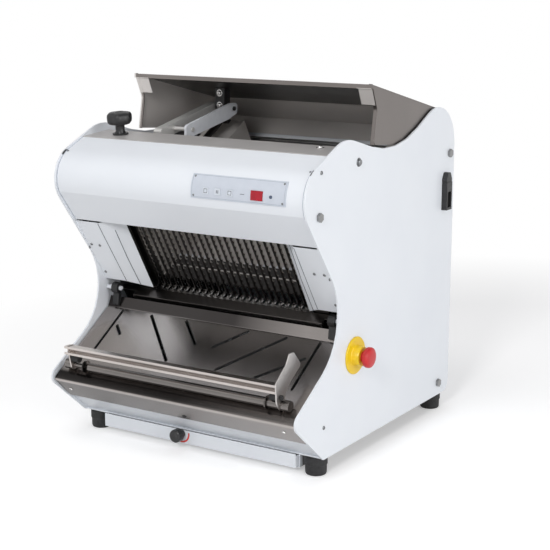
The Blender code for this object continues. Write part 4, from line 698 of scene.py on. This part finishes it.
BLADE_COUNT = 25
BLADE_PITCH = 16.5
BLADE_HALF_DEPTH = 6.1
BLADE_UPS = (-216.0, 86.0)
BLADE_HALF_THICKNESS = 0.45
EDGE_HALF_THICKNESS = 0.1
SCALLOP_DEPTH = 3.8
SCALLOP_STEPS = 8
BEVEL_WIDTH = 3.5
GROUND_SIDES = (1, 2, 3)
FRAME_DEPTHS = (7.0, 20.0)
FRAME_HALF = (248.0, 212.0)
FRAME_UPS = (-245.0, -220.0, 90.0, 115.0)
LUG = (32.0, 40.0, -305.0)
HOLDER_DEPTHS = (3.0, 12.0)
HOLDER_LENGTH = 10.0
HOLDER_HALF_THICKNESS = 0.8
FRAMES = {
    -1: ("front_slicing_frame", "blade_frame_front", 0, 23),
    1: ("rear_slicing_frame", "blade_frame_rear", 1, 21),
}


def scalloped_blade(x, scallops):
    """One band blade: flat sides, and a ground bevel that follows the scallops of its edge."""
    shape = bmesh.new()
    low, high = BLADE_UPS
    pitch = (high - low) / scallops
    rows = []
    for i in range(scallops * SCALLOP_STEPS + 1):
        up = low + pitch * i / SCALLOP_STEPS
        share = (i % SCALLOP_STEPS) / SCALLOP_STEPS
        edge = BLADE_HALF_DEPTH - SCALLOP_DEPTH * math.sin(math.pi * share)
        stations = (
            (-BLADE_HALF_DEPTH, BLADE_HALF_THICKNESS),
            (edge - BEVEL_WIDTH, BLADE_HALF_THICKNESS),
            (edge, EDGE_HALF_THICKNESS),
        )
        left = [shape.verts.new((x - half, depth, up)) for depth, half in stations]
        right = [shape.verts.new((x + half, depth, up)) for depth, half in stations]
        rows.append(left + right[::-1])
    skin(shape, rows, ends=False)
    # the bevel's faces carry the painted glint, and the rest the dark blade steel
    for i, face in enumerate(shape.faces):
        face.material_index = 1 if i % len(rows[0]) in GROUND_SIDES else 0
    shape.faces.new(rows[0])
    shape.faces.new(rows[-1])
    return shape


def box_shape(xs, ys, zs):
    shape = bmesh.new()
    centre = Vector([sum(pair) / 2 for pair in (xs, ys, zs)])
    size = Matrix.Diagonal([abs(pair[1] - pair[0]) for pair in (xs, ys, zs)] + [1])
    bmesh.ops.create_cube(shape, size=1, matrix=Matrix.Translation(centre) @ size)
    return shape


def soft_box(xs, ys, zs, edge=0.8):
    """A box with rounded edges."""
    shape = box_shape(xs, ys, zs)
    bmesh.ops.bevel(
        shape, geom=shape.edges[:], offset=edge, segments=2, affect="EDGES", profile=0.5
    )
    return shape


def slicing_frame(side):
    """A blade frame's rails, its lug, and every second blade with the holders at its ends."""
    name, node, first, scallops = FRAMES[side]
    depths = sorted(side * depth for depth in FRAME_DEPTHS)
    low, low_inner, high_inner, high = FRAME_UPS
    outer, inner = FRAME_HALF
    rails = [
        soft_box((-outer, outer), depths, (low, low_inner)),
        soft_box((-outer, outer), depths, (high_inner, high)),
    ]
    for hand in (-1, 1):
        across = (hand * inner, hand * outer)
        rails.append(soft_box(across, depths, (low_inner - 1, high_inner + 1)))
    rails.append(soft_box((side * LUG[0], side * LUG[1]), depths, (LUG[2], low + 1)))
    carried = piece(name, join(*rails), SHADE_STEEL, node, BLADE_PLANE)
    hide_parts(node)
    xs = [(i - (BLADE_COUNT - 1) / 2) * BLADE_PITCH for i in range(first, BLADE_COUNT, 2)]
    blades = join(*(scalloped_blade(x, scallops) for x in xs))
    piece(name + "_blades", blades, [BLADE, EDGE_GLINT], node, BLADE_PLANE)
    seats = sorted(side * depth for depth in HOLDER_DEPTHS)
    holders = []
    for x in xs:
        width = (x - HOLDER_HALF_THICKNESS, x + HOLDER_HALF_THICKNESS)
        for end, rail in zip(BLADE_UPS, (low_inner, high_inner)):
            inward = math.copysign(HOLDER_LENGTH, -end)
            holders.append(soft_box(width, seats, sorted((rail, end + inward)), 0.3))
    piece(name + "_holders", join(*holders), ZINC, node, BLADE_PLANE)


slicing_frame(-1)
slicing_frame(1)

# Turned and moulded pieces that show close up

TOP_PLATE_TILT = math.radians(4.512)
CLAMP_SEAT = (-238.4, -244.8, 654.16)
CLAMP_TILT = Matrix.Rotation(TOP_PLATE_TILT, 4, "X")
CLAMP_LOBES = 6
CLAMP_LOBE_SHARE = 0.048


def clamp_knob():
    """The lobed clamp knob and its stem, on the top plate."""

    def lobed(turn, height):
        return 1 - CLAMP_LOBE_SHARE * (1 - math.cos(CLAMP_LOBES * turn))

    stem = lathe(
        [
            (0, 0), (17, 0), (17, 2.4), (16.4, 3), (11.5, 3.2), (9.9, 8), (9.8, 19), (11.5, 22.6),
            (11.5, 24), (0, 24),
        ]
    )
    head = lathe(
        [
            (0, 21.6), (18, 21.8), (24, 23.6), (27.2, 27.5), (28, 33), (28, 40), (27, 43.6),
            (24.6, 46.4), (20, 47.8), (9, 48), (8, 47.2), (0, 47.2),
        ],
        96,
        lobed,
    )
    place = Matrix.Translation(CLAMP_SEAT) @ CLAMP_TILT
    knob = piece("clamp_knob_moulding", join(stem, head), BLACK, "clamp_knob", place)
    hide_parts("clamp_knob")


clamp_knob()

FOOT_PLACES = {
    "foot_front_left": (-280.0, -284.0),
    "foot_front_right": (280.0, -284.0),
    "foot_rear_left": (-280.0, 235.0),
    "foot_rear_right": (280.0, 235.0),
}
FOOT_HEIGHT = 39.7


def foot(name, x, y):
    """A turned rubber foot."""
    profile = [
        (0, 0), (19, 0), (21, 1.2), (22.2, 4), (22.5, 19), (22.9, 21), (24, 22.5),
        (24, FOOT_HEIGHT - 2), (23, FOOT_HEIGHT - 0.6), (21.5, FOOT_HEIGHT), (0, FOOT_HEIGHT),
    ]
    place = Matrix.Translation((x, y, 0))
    made = piece(name + "_moulding", lathe(profile), RUBBER, "machine", place)
    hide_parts(name)


for foot_name, (foot_x, foot_y) in FOOT_PLACES.items():
    foot(foot_name, foot_x, foot_y)

KNOB_PLACE = (-37.0, -311.5, 34.0)
KNOB_FLUTES = 14
KNOB_FLUTE_SHARE = 0.02


def drawer_knob():
    """The fluted knob on the crumb drawer."""
    profile = [
        (0, 0.3), (9, 0.3), (7, 2.2), (6, 4), (6, 8), (9, 9), (13.6, 10), (14.5, 11.4), (14.5, 23),
        (13.8, 25.4), (11.5, 27), (5, 27), (4, 26.4), (0, 26.4),
    ]

    def fluted(turn, height):
        depth = KNOB_FLUTE_SHARE if 10.5 < height < 25 else 0
        return 1 - depth * (1 - math.cos(KNOB_FLUTES * turn))

    knob = piece(
        "drawer_knob_moulding",
        lathe(profile, 112, fluted),
        BLACK,
        "drawer_knob",
        facing(KNOB_PLACE, (0, -1, 0)),
    )
    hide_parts("drawer_knob")


drawer_knob()

ESTOP_PLACE = (HALF_WIDTH + 0.3, -183.0, 229.0)


def emergency_stop():
    """The yellow base and the red button of the emergency stop."""
    base = lathe(
        [
            (0, 0), (38.4, 0), (39, 0.8), (39, 2.8), (38, 3.8), (36, 4), (23.4, 4), (22, 5),
            (21.4, 8), (20.6, 18.6), (19.8, 19.8), (11.4, 20), (11.4, 1), (0, 1),
        ],
        72,
    )
    place = facing(ESTOP_PLACE, (1, 0, 0))
    made = piece("estop_base_moulding", base, YELLOW, "machine", place)
    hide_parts("estop_base")
    head = lathe(
        [
            (0, 7.3), (11, 7.3), (11, 27), (12, 27.5), (18, 27.5), (20.6, 28.4), (21.5, 30.5),
            (21.5, 35.4), (20.6, 38), (18.6, 39.8), (14, 41.1), (7, 41.6), (0, 41.7),
        ],
        72,
    )
    made = piece("estop_button_moulding", head, RED, "estop_button", place)
    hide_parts("estop_button")


emergency_stop()

# Screws and bolts

PANEL_THICKNESS = 4.0
INNER_FACE = HALF_WIDTH - PANEL_THICKNESS
SMALL_SCREWS = ((-322.0, 621.0), (-306.0, 108.0))
BOLT = (-176.0, 625.0)
GUARD_NORMAL = (0, -0.8364, -0.5481)
FLANGE_NORMAL = (0, -0.699, -0.714)
HOOD_ENDS = (
    (-313.7, 634.4, (0, -0.013, 1.0)),
    (-345.5, 624.6, (0, -0.495, 0.869)),
)


def body_of(node):
    """The body that carries a node."""
    return nodes[node].parent.name.split(":")[1]


def screws(name, places, look, body, radius, height, washer=0.0):
    """One piece with a screw at each (place, normal)."""
    made = []
    for place, normal in places:
        made.append(moved(socket_screw(radius, height, washer), facing(place, normal)))
    piece(name, join(*made), look, body)


def fasteners():
    """The small screws and bolts of the housing, the lid's bracket, the tray and the back."""
    for side, hand in ((1, "right"), (-1, "left")):
        out = (side, 0, 0)
        places = [((side * HALF_WIDTH, *place), out) for place in SMALL_SCREWS]
        screws(f"panel_screws_{hand}", places, ZINC, "machine", 4.2, 2.2)
        bolt = moved(hex_bolt(12.0, 3.6, 9.0), facing((side * HALF_WIDTH, *BOLT), out))
        piece(f"panel_bolt_{hand}", bolt, ZINC, "machine")
        guard = [
            ((side * 272.7, -282.7, 413.1), GUARD_NORMAL),
            ((side * 296.0, -283.1, 413.7), GUARD_NORMAL),
            ((side * 296.0, -237.4, 343.9), GUARD_NORMAL),
        ]
        screws(f"guard_screws_{hand}", guard, ZINC, "machine", 3.4, 2.0)
        inside = [
            ((side * INNER_FACE, -278.6, 405.0), (-side, 0, 0)),
            ((side * INNER_FACE, -246.5, 405.2), (-side, 0, 0)),
        ]
        screws(f"panel_inside_screws_{hand}", inside, ZINC, "machine", 3.2, 2.0)
    top = (0, -math.sin(TOP_PLATE_TILT), math.cos(TOP_PLATE_TILT))
    cap = [((251.5, -228.0, 655.1), top)]
    screws("top_plate_cap_screw", cap, BRIGHT, "machine", 5.5, 3.6, 8.0)
    ends = [((side * 300.0, y, z), normal) for side in (-1, 1) for y, z, normal in HOOD_ENDS]
    screws("hood_end_screws", ends, ZINC, "machine", 2.4, 1.2)
    bracket = [((-175.0, 38.0, z), (0, -1, 0)) for z in (726.0, 698.0)]
    lid = body_of("hold_down_bracket")
    screws("bracket_bolts", bracket, BRIGHT, lid, 6.0, 4.5, 8.0)
    flange = [
        ((-279.6, -385.1, 112.1), FLANGE_NORMAL),
        ((268.3, -388.1, 115.1), FLANGE_NORMAL),
    ]
    screws("tray_flange_screws", flange, BRIGHT, body_of("slice_tray"), 4.0, 2.0)
    latch = [((13.0, -369.0, 96.4), FLANGE_NORMAL)]
    screws("tray_latch_screw", latch, BLACK, body_of("slice_tray"), 5.0, 2.2)
    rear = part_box("rear_panel")[1].y / MM - at(0, 0, 0).y / MM
    back = [((x, rear, z), (0, 1, 0)) for x in (-288.0, 0.0, 288.0) for z in (70.0, 345.0, 615.0)]
    screws("rear_panel_screws", back, ZINC, "machine", 3.6, 2.0)


fasteners()

# Print and trim on the control plate

NOSE = (-312.826, 567.34)
PLATE_FACE = 68.1
KEY_FACE = 69.6
KEY_ANGLE = 7.0
KEY_INK = (-0.12, 0.05)
PLATE_INK = (PLATE_FACE - 0.05, PLATE_FACE + 0.12)
PLATE_SIDES = (47.4, 264.1)
PLATE_ANGLES = (-4.9, 33.4)
BORDER_WIDTH, BORDER_ANGLE = 0.9, 0.75
RIVET_XS = (52.0, 259.5)
RIVET_ANGLES = (30.5, -2.0)


def on_plate(x, angle, radius):
    """A point at an angle in degrees and a radius about the axis of the plate's curve."""
    turn = math.radians(angle)
    return (x, NOSE[0] - radius * math.cos(turn), NOSE[1] + radius * math.sin(turn))


def plate_patch(xs, angles, radii, steps=1):
    """A thin patch that follows the plate's curve."""
    corners = ((xs[0], radii[0]), (xs[1], radii[0]), (xs[1], radii[1]), (xs[0], radii[1]))
    shape = bmesh.new()
    rows = []
    for i in range(steps + 1):
        angle = angles[0] + (angles[1] - angles[0]) * i / steps
        rows.append([shape.verts.new(on_plate(x, angle, radius)) for x, radius in corners])
    return skin(shape, rows)


def key_mark(x, boxes):
    """Flat printed bars on a key, from (x, up) boxes about its middle."""
    tilt = Matrix.Rotation(-math.radians(KEY_ANGLE), 4, "X")
    made = [box_shape(box[:2], KEY_INK, box[2:]) for box in boxes]
    return moved(join(*made), Matrix.Translation(on_plate(x, KEY_ANGLE, KEY_FACE)) @ tilt)


def square_outline(half, width):
    inner = half - width
    return [
        (-half, half, inner, half), (-half, half, -half, -inner), (-half, -inner, -inner, inner),
        (inner, half, -inner, inner),
    ]


def pause_bars():
    return [(-2.6, -0.9, -3.2, 3.2), (0.9, 2.6, -3.2, 3.2)]


def control_print():
    """The control plate's border, dash and rivets, and a plain mark on each key."""
    left, right = PLATE_SIDES
    low, high = PLATE_ANGLES
    border = [
        plate_patch(PLATE_SIDES, (low, low + BORDER_ANGLE), PLATE_INK),
        plate_patch(PLATE_SIDES, (high - BORDER_ANGLE, high), PLATE_INK),
        plate_patch((left, left + BORDER_WIDTH), PLATE_ANGLES, PLATE_INK, 10),
        plate_patch((right - BORDER_WIDTH, right), PLATE_ANGLES, PLATE_INK, 10),
    ]
    piece("control_plate_border", join(*border), BORDER, "machine")
    dash = plate_patch((162.5, 172.5), (6.5, 7.5), PLATE_INK)
    piece("control_plate_dash", dash, PRINT, "machine")
    rivets = []
    for angle in RIVET_ANGLES:
        turn = math.radians(angle)
        for x in RIVET_XS:
            place = on_plate(x, angle, PLATE_FACE)
            rivets.append((place, (0, -math.cos(turn), math.sin(turn))))
    screws("control_plate_rivets", rivets, ZINC, "machine", 2.2, 0.9)
    square = square_outline(4.2, 1.0)
    for node, x, boxes in zip(KEYS, (82.0, 110.0, 139.0), (square, pause_bars(), square)):
        piece(node + "_mark", key_mark(x, boxes), PRINT, body_of(node))


control_print()

# Thin trims about the blades, the chute and the drawer

LOAF_FLOOR = -164.0
FLOOR_SIDES = (-205.0, 205.0)


def gap_middles():
    """The middles of the gaps beside the blades, from the left."""
    return [(i - BLADE_COUNT / 2) * BLADE_PITCH for i in range(BLADE_COUNT + 1)]


def comb_strip():
    """The toothed strip on the ramp's upper edge, whose teeth stand between the blades."""
    low, high = LOAF_FLOOR - 2.0, LOAF_FLOOR
    made = [box_shape((-206.0, 206.0), (-22.5, -16.0), (low, high))]
    for middle in gap_middles():
        made.append(soft_box((middle - 5.2, middle + 5.2), (-16.5, -1.0), (low, high), 0.4))
    piece("ramp_comb_strip", join(*made), BRIGHT, "machine", BLADE_PLANE)


def chute_trims():
    """The chute's sheet of painted shade, its joint strip and its edge of studs."""
    face = LOAF_FLOOR + 0.6
    sheet = box_shape(FLOOR_SIDES, (25.9, 92.0), (LOAF_FLOOR + 0.05, face))
    lip = box_shape(FLOOR_SIDES, (25.6, 26.3), (LOAF_FLOOR - 3.5, face))
    piece("chute_slide_sheet", join(sheet, lip), SHADE_SHEET, "machine", BLADE_PLANE)
    strip = soft_box(FLOOR_SIDES, (60.0, 64.0), (face, face + 0.6), 0.25)
    piece("chute_joint_strip", strip, CHUTE, "machine", BLADE_PLANE)
    studs = []
    for middle in gap_middles():
        stud = lathe([(0, 0), (4.6, 0), (4.4, 0.6), (2.8, 1.1), (0, 1.2)], 16)
        studs.append(moved(stud, Matrix.Translation((middle, 97.0, LOAF_FLOOR + 0.05))))
    piece("chute_stud_row", join(*studs), NYLON, "machine", BLADE_PLANE)


def pusher_fingers():
    """The fingers on the pusher comb, one in each gap between blades."""
    made = []
    for middle in gap_middles()[1:-1]:
        made.append(soft_box((middle - 4.0, middle + 4.0), (341.2, 343.8), (-60.0, -45.0), 0.5))
    piece("pusher_fingers", join(*made), STEEL_Z, "pusher", BLADE_PLANE)


GUARD_CORNER = 247.0
GUARD_FOLD = ((0, -319.0, 468.4), (0, -226.0, 326.6))


def guard_folds():
    """The dark joint where each guard folds back towards the blades."""
    out = Vector(GUARD_NORMAL)
    made = []
    for side in (-1, 1):
        shape = bmesh.new()
        rows = []
        for point in GUARD_FOLD:
            middle = Vector(point) + Vector((side * GUARD_CORNER, 0, 0))
            corners = ((-0.6, -0.2), (0.6, -0.2), (0.6, 0.35), (-0.6, 0.35))
            places = [middle + Vector((x, 0, 0)) + out * up for x, up in corners]
            rows.append([shape.verts.new(place) for place in places])
        made.append(skin(shape, rows))
    piece("guard_folds", join(*made), PRINT, "machine")


ARC_RADII = (16.5, 20.3)
ARC_FACES = (-311.4, -311.75)
ARC_START, ARC_TURN = 165.0, 205.0
ARC_STEPS = 36


def drawer_arc():
    """A plain red arc round the drawer's knob."""
    (inner, outer), (back, front) = ARC_RADII, ARC_FACES
    corners = ((inner, back), (outer, back), (outer, front), (inner, front))
    shape = bmesh.new()
    rows = []
    for i in range(ARC_STEPS + 1):
        turn = math.radians(ARC_START + ARC_TURN * i / ARC_STEPS)
        row = []
        for radius, y in corners:
            x, z = radius * math.cos(turn), radius * math.sin(turn)
            row.append(shape.verts.new((KNOB_PLACE[0] + x, y, KNOB_PLACE[2] + z)))
        rows.append(row)
    piece("drawer_arc", skin(shape, rows), RED_PRINT, body_of("crumb_drawer"))


def bead(path, x, width, low, high):
    """A thin strip over a face, from its (y, z) points and their outward normals."""
    half = width / 2
    corners = ((-half, low), (half, low), (half, high), (-half, high))
    shape = bmesh.new()
    rows = []
    for (y, z), (ny, nz) in path:
        row = [shape.verts.new((x + dx, y + ny * rise, z + nz * rise)) for dx, rise in corners]
        rows.append(row)
    return skin(shape, rows)


HOOD_RADIUS = 66.3
HOOD_START, HOOD_TURN = 66.5, 89.9
HOOD_STEPS = 18


def hood_joints():
    """The shadow joint between the hood and each side panel."""
    path = [((-291.0, 649.1), (-0.398, 0.917))]
    for i in range(HOOD_STEPS + 1):
        turn = math.radians(HOOD_START - HOOD_TURN * i / HOOD_STEPS)
        out = (-math.cos(turn), math.sin(turn))
        path.append(((NOSE[0] + HOOD_RADIUS * out[0], NOSE[1] + HOOD_RADIUS * out[1]), out))
    path += [((-373.67, 541.0), (-0.8, -0.6)), ((-324.6, 475.8), (-0.799, -0.601))]
    made = [bead(path, side * 303.9, 1.3, -0.3, 0.2) for side in (-1, 1)]
    piece("hood_joints", join(*made), BORDER, "machine", angle=60.0)


def thin_plate(corners, thickness):
    """A flat plate on three or more corners."""
    shape = bmesh.new()
    a, b, c = (Vector(corner) for corner in corners[:3])
    rise = (b - a).cross(c - a).normalized() * thickness
    rows = []
    for share in (0, 1):
        rows.append([shape.verts.new(Vector(corner) + rise * share) for corner in corners])
    return skin(shape, rows)


RETURN_EDGE = 203.0
RETURN_POINTS = ((-260.38, 438.01), (-184.7, 308.5))
SEAM_CORNERS = ((-320.0, 470.0), (-225.0, 325.0))
SEAM_SHARE = 0.52
SEAM_HALF_WIDTH = 0.6


def guard_returns():
    """The upper corners of the guards' folded sides, and the joint along each side."""
    top = blade_point(-22.5, 42.0)
    plates, seams = [], []
    for side in (-1, 1):
        edge = side * RETURN_EDGE
        corners = [(side * 246.5, *SEAM_CORNERS[0]), (edge, *RETURN_POINTS[0]), (edge, *top)]
        plates.append(thin_plate(corners, 1.2))
        corner = [Vector((side * GUARD_CORNER, *point)) for point in SEAM_CORNERS]
        folded = [Vector((edge, *point)) for point in (top, *RETURN_POINTS)]
        points = [corner[0].lerp(point, SEAM_SHARE) for point in folded]
        points.append(corner[1].lerp(folded[-1], SEAM_SHARE))
        out = Vector((-side * 0.55, -0.65, -0.5)).normalized()
        slide = (points[-1] - points[0]).normalized().cross(out) * SEAM_HALF_WIDTH
        offsets = [slide * a + out * b for a, b in ((-1, -0.8), (1, -0.8), (1, 0.9), (-1, 0.9))]
        shape = bmesh.new()
        rows = [[shape.verts.new(point + offset) for offset in offsets] for point in points]
        seams.append(skin(shape, rows))
    piece("guard_corners", join(*plates), WHITE, "machine")
    piece("guard_seams", join(*seams), PRINT, "machine")


TRAY_SLOTS = (
    ((256.0, -231.0), (256.0, -338.0)),
    ((-256.0, -231.0), (-256.0, -338.0)),
    ((175.0, -231.0), (64.0, -327.0)),
    ((-175.0, -231.0), (-64.0, -327.0)),
    ((80.0, -231.0), (23.0, -279.0)),
    ((-80.0, -231.0), (-23.0, -279.0)),
    ((243.0, -270.0), (162.0, -328.0)),
    ((-243.0, -268.0), (-221.0, -286.0)),
)


TRAY_FRONT = (-397.0, 150.0)
TRAY_RISE = 0.6416
SLOT_SECTION = ((2.2, -1.9), (2.2, 0.3), (3.4, 0.3), (3.4, -0.3))
SLOT_END_STEPS = 6


def tray_height(y):
    """The height of the tray's floor at y."""
    return TRAY_FRONT[1] + (y - TRAY_FRONT[0]) * TRAY_RISE


def slot_shadows():
    """Painted shadow: dark rims in the tray's slots."""
    made = []
    for start, end in TRAY_SLOTS:
        turn = math.atan2(end[1] - start[1], end[0] - start[0])
        shape = bmesh.new()
        loops = []
        for half, rise in SLOT_SECTION:
            loop = []
            for centre, first in ((end, -math.pi / 2), (start, math.pi / 2)):
                for step in range(SLOT_END_STEPS + 1):
                    angle = turn + first + math.pi * step / SLOT_END_STEPS
                    x = centre[0] + math.cos(angle) * half
                    y = centre[1] + math.sin(angle) * half
                    loop.append(shape.verts.new((x, y, tray_height(y) + rise)))
            loops.append(loop)
        made.append(skin(shape, loops + loops[:1], ends=False))
    piece("tray_slot_edging", join(*made), SLOT_SHADOW, body_of("slice_tray"))


hood_joints()
guard_returns()
slot_shadows()
comb_strip()
chute_trims()
pusher_fingers()
guard_folds()
drawer_arc()


# Stage, light and camera


FLOOR_REACH = 12.0
FLOOR_LEVEL = -0.0003
FLOOR_GREY = (0.8, 0.8, 0.8)
FLOOR_GLOW = 0.32
FLOOR_MIDDLE = (0.4, 0.5, 0.0)
FLOOR_FADE = (0.95, 1.7)
AMBIENT = 0.375
CEILING = ((0.0, 0.95), (0.25, 0.8), (0.5, 0.45), (1.0, 0.42))
PLAIN_WHITE = (1, 1, 1, 1)


def mix_shaders(tree, factor, first, second):
    made = tree.nodes.new("ShaderNodeMixShader")
    for source, place in zip((factor, first, second), made.inputs):
        tree.links.new(source, place)
    return made.outputs[0]


def seen_directly(tree):
    """1 for rays from the camera and for those that a mirror or a window sends on."""
    path = tree.nodes.new("ShaderNodeLightPath").outputs
    seen = maths(tree, "MAXIMUM", path["Is Camera Ray"], path["Is Glossy Ray"])
    return maths(tree, "MAXIMUM", seen, path["Is Transmission Ray"])


def floor():
    """A pale floor that keeps the shadow and fades to plain white away from the machine."""
    mesh = bpy.data.meshes.new("floor")
    signs = ((-1, -1), (1, -1), (1, 1), (-1, 1))
    corners = [(x * FLOOR_REACH, y * FLOOR_REACH, FLOOR_LEVEL) for x, y in signs]
    mesh.from_pydata(corners, [], [(0, 1, 2, 3)])
    obj = bpy.data.objects.new("floor", mesh)
    bpy.context.scene.collection.objects.link(obj)
    made, tree, shader = material("pale_floor", FLOOR_GREY, 0.0, 0.9)
    shader.inputs["Specular IOR Level"].default_value = 0.0
    grain = between(tree, noise(tree, coordinates(tree), 3.0), 0, 1)
    greys = blend_colours(tree, grain, (0.795, 0.795, 0.795), (0.805, 0.805, 0.805))
    tree.links.new(greys, shader.inputs["Base Color"])
    matt = add(tree, "ShaderNodeBsdfDiffuse", Color=(0.95, 0.95, 0.95, 1))
    glow = add(tree, "ShaderNodeEmission", Color=PLAIN_WHITE, Strength=FLOOR_GLOW)
    plain = add(tree, "ShaderNodeEmission", Color=PLAIN_WHITE, Strength=1.0)
    near = tree.nodes.new("ShaderNodeAddShader")
    tree.links.new(matt.outputs[0], near.inputs[0])
    tree.links.new(glow.outputs[0], near.inputs[1])
    away = between(tree, distance(tree, FLOOR_MIDDLE), 0, 1, *FLOOR_FADE)
    seen = mix_shaders(tree, away, near.outputs[0], plain.outputs[0])
    choice = mix_shaders(tree, seen_directly(tree), shader.outputs[0], seen)
    tree.links.new(choice, tree.nodes["Material Output"].inputs["Surface"])
    mesh.materials.append(made)


def world():
    """An even pale studio: white to the camera, and a paler horizon in reflections."""
    made = bpy.data.worlds.new("studio")
    bpy.context.scene.world = made
    made.use_nodes = True
    tree = made.node_tree
    tree.nodes.clear()
    path = tree.nodes.new("ShaderNodeLightPath").outputs
    source = tree.nodes.new("ShaderNodeTexCoord")
    split = tree.nodes.new("ShaderNodeSeparateXYZ")
    tree.links.new(source.outputs["Generated"], split.inputs[0])
    ramp = tree.nodes.new("ShaderNodeValToRGB")
    tree.links.new(split.outputs["Z"], ramp.inputs["Fac"])
    stops = ramp.color_ramp.elements
    while len(stops) < len(CEILING):
        stops.new(0.5)
    for stop, (place, grey) in zip(stops, CEILING):
        stop.position = place
        stop.color = (grey, grey, grey, 1)
    light = (AMBIENT, AMBIENT, AMBIENT * 1.02)
    studio = blend_colours(tree, path["Is Glossy Ray"], light, ramp.outputs["Color"])
    seen = blend_colours(tree, path["Is Camera Ray"], studio, PLAIN_WHITE[:3])
    back = tree.nodes.new("ShaderNodeBackground")
    tree.links.new(seen, back.inputs["Color"])
    output = tree.nodes.new("ShaderNodeOutputWorld")
    tree.links.new(back.outputs[0], output.inputs["Surface"])


def lamp(name, place, target, size, power):
    """A soft rectangular lamp that faces its target."""
    data = bpy.data.lights.new(name, "AREA")
    data.shape = "RECTANGLE"
    data.size, data.size_y = size
    data.energy = power
    obj = bpy.data.objects.new(name, data)
    obj.location = place
    obj.rotation_euler = (Vector(target) - Vector(place)).to_track_quat("-Z", "Y").to_euler()
    bpy.context.scene.collection.objects.link(obj)


def camera():
    """The camera at the photo's viewing angle."""
    azimuth, elevation = math.radians(CAMERA_AZIMUTH), math.radians(CAMERA_ELEVATION)
    level = math.cos(elevation)
    back = (math.sin(azimuth) * level, -math.cos(azimuth) * level, math.sin(elevation))
    back = Vector(back)
    data = bpy.data.cameras.new("camera")
    data.lens = CAMERA_LENS
    data.sensor_width = SENSOR
    obj = bpy.data.objects.new("camera", data)
    obj.location = at(*(Vector(CAMERA_TARGET) + back * CAMERA_DISTANCE))
    obj.rotation_euler = (-back).to_track_quat("-Z", "Y").to_euler()
    bpy.context.scene.collection.objects.link(obj)
    bpy.context.scene.camera = obj


floor()
world()
lamp("key", (1.25, -4.5, 2.62), (0, 0, 0.3), (0.9, 0.9), 84)
lamp("fill", (-2.4, -2.2, 2.4), (0, 0, 0.3), (2.4, 2.0), 11)
lamp("side", (3.4, -0.7, 1.0), (0, 0, 0.35), (2.4, 1.6), 46)
lamp("top", (-0.2, -1.05, 3.0), (0, 0, 0.4), (1.4, 1.0), 12)
camera()
bpy.context.scene.view_settings.view_transform = "Standard"
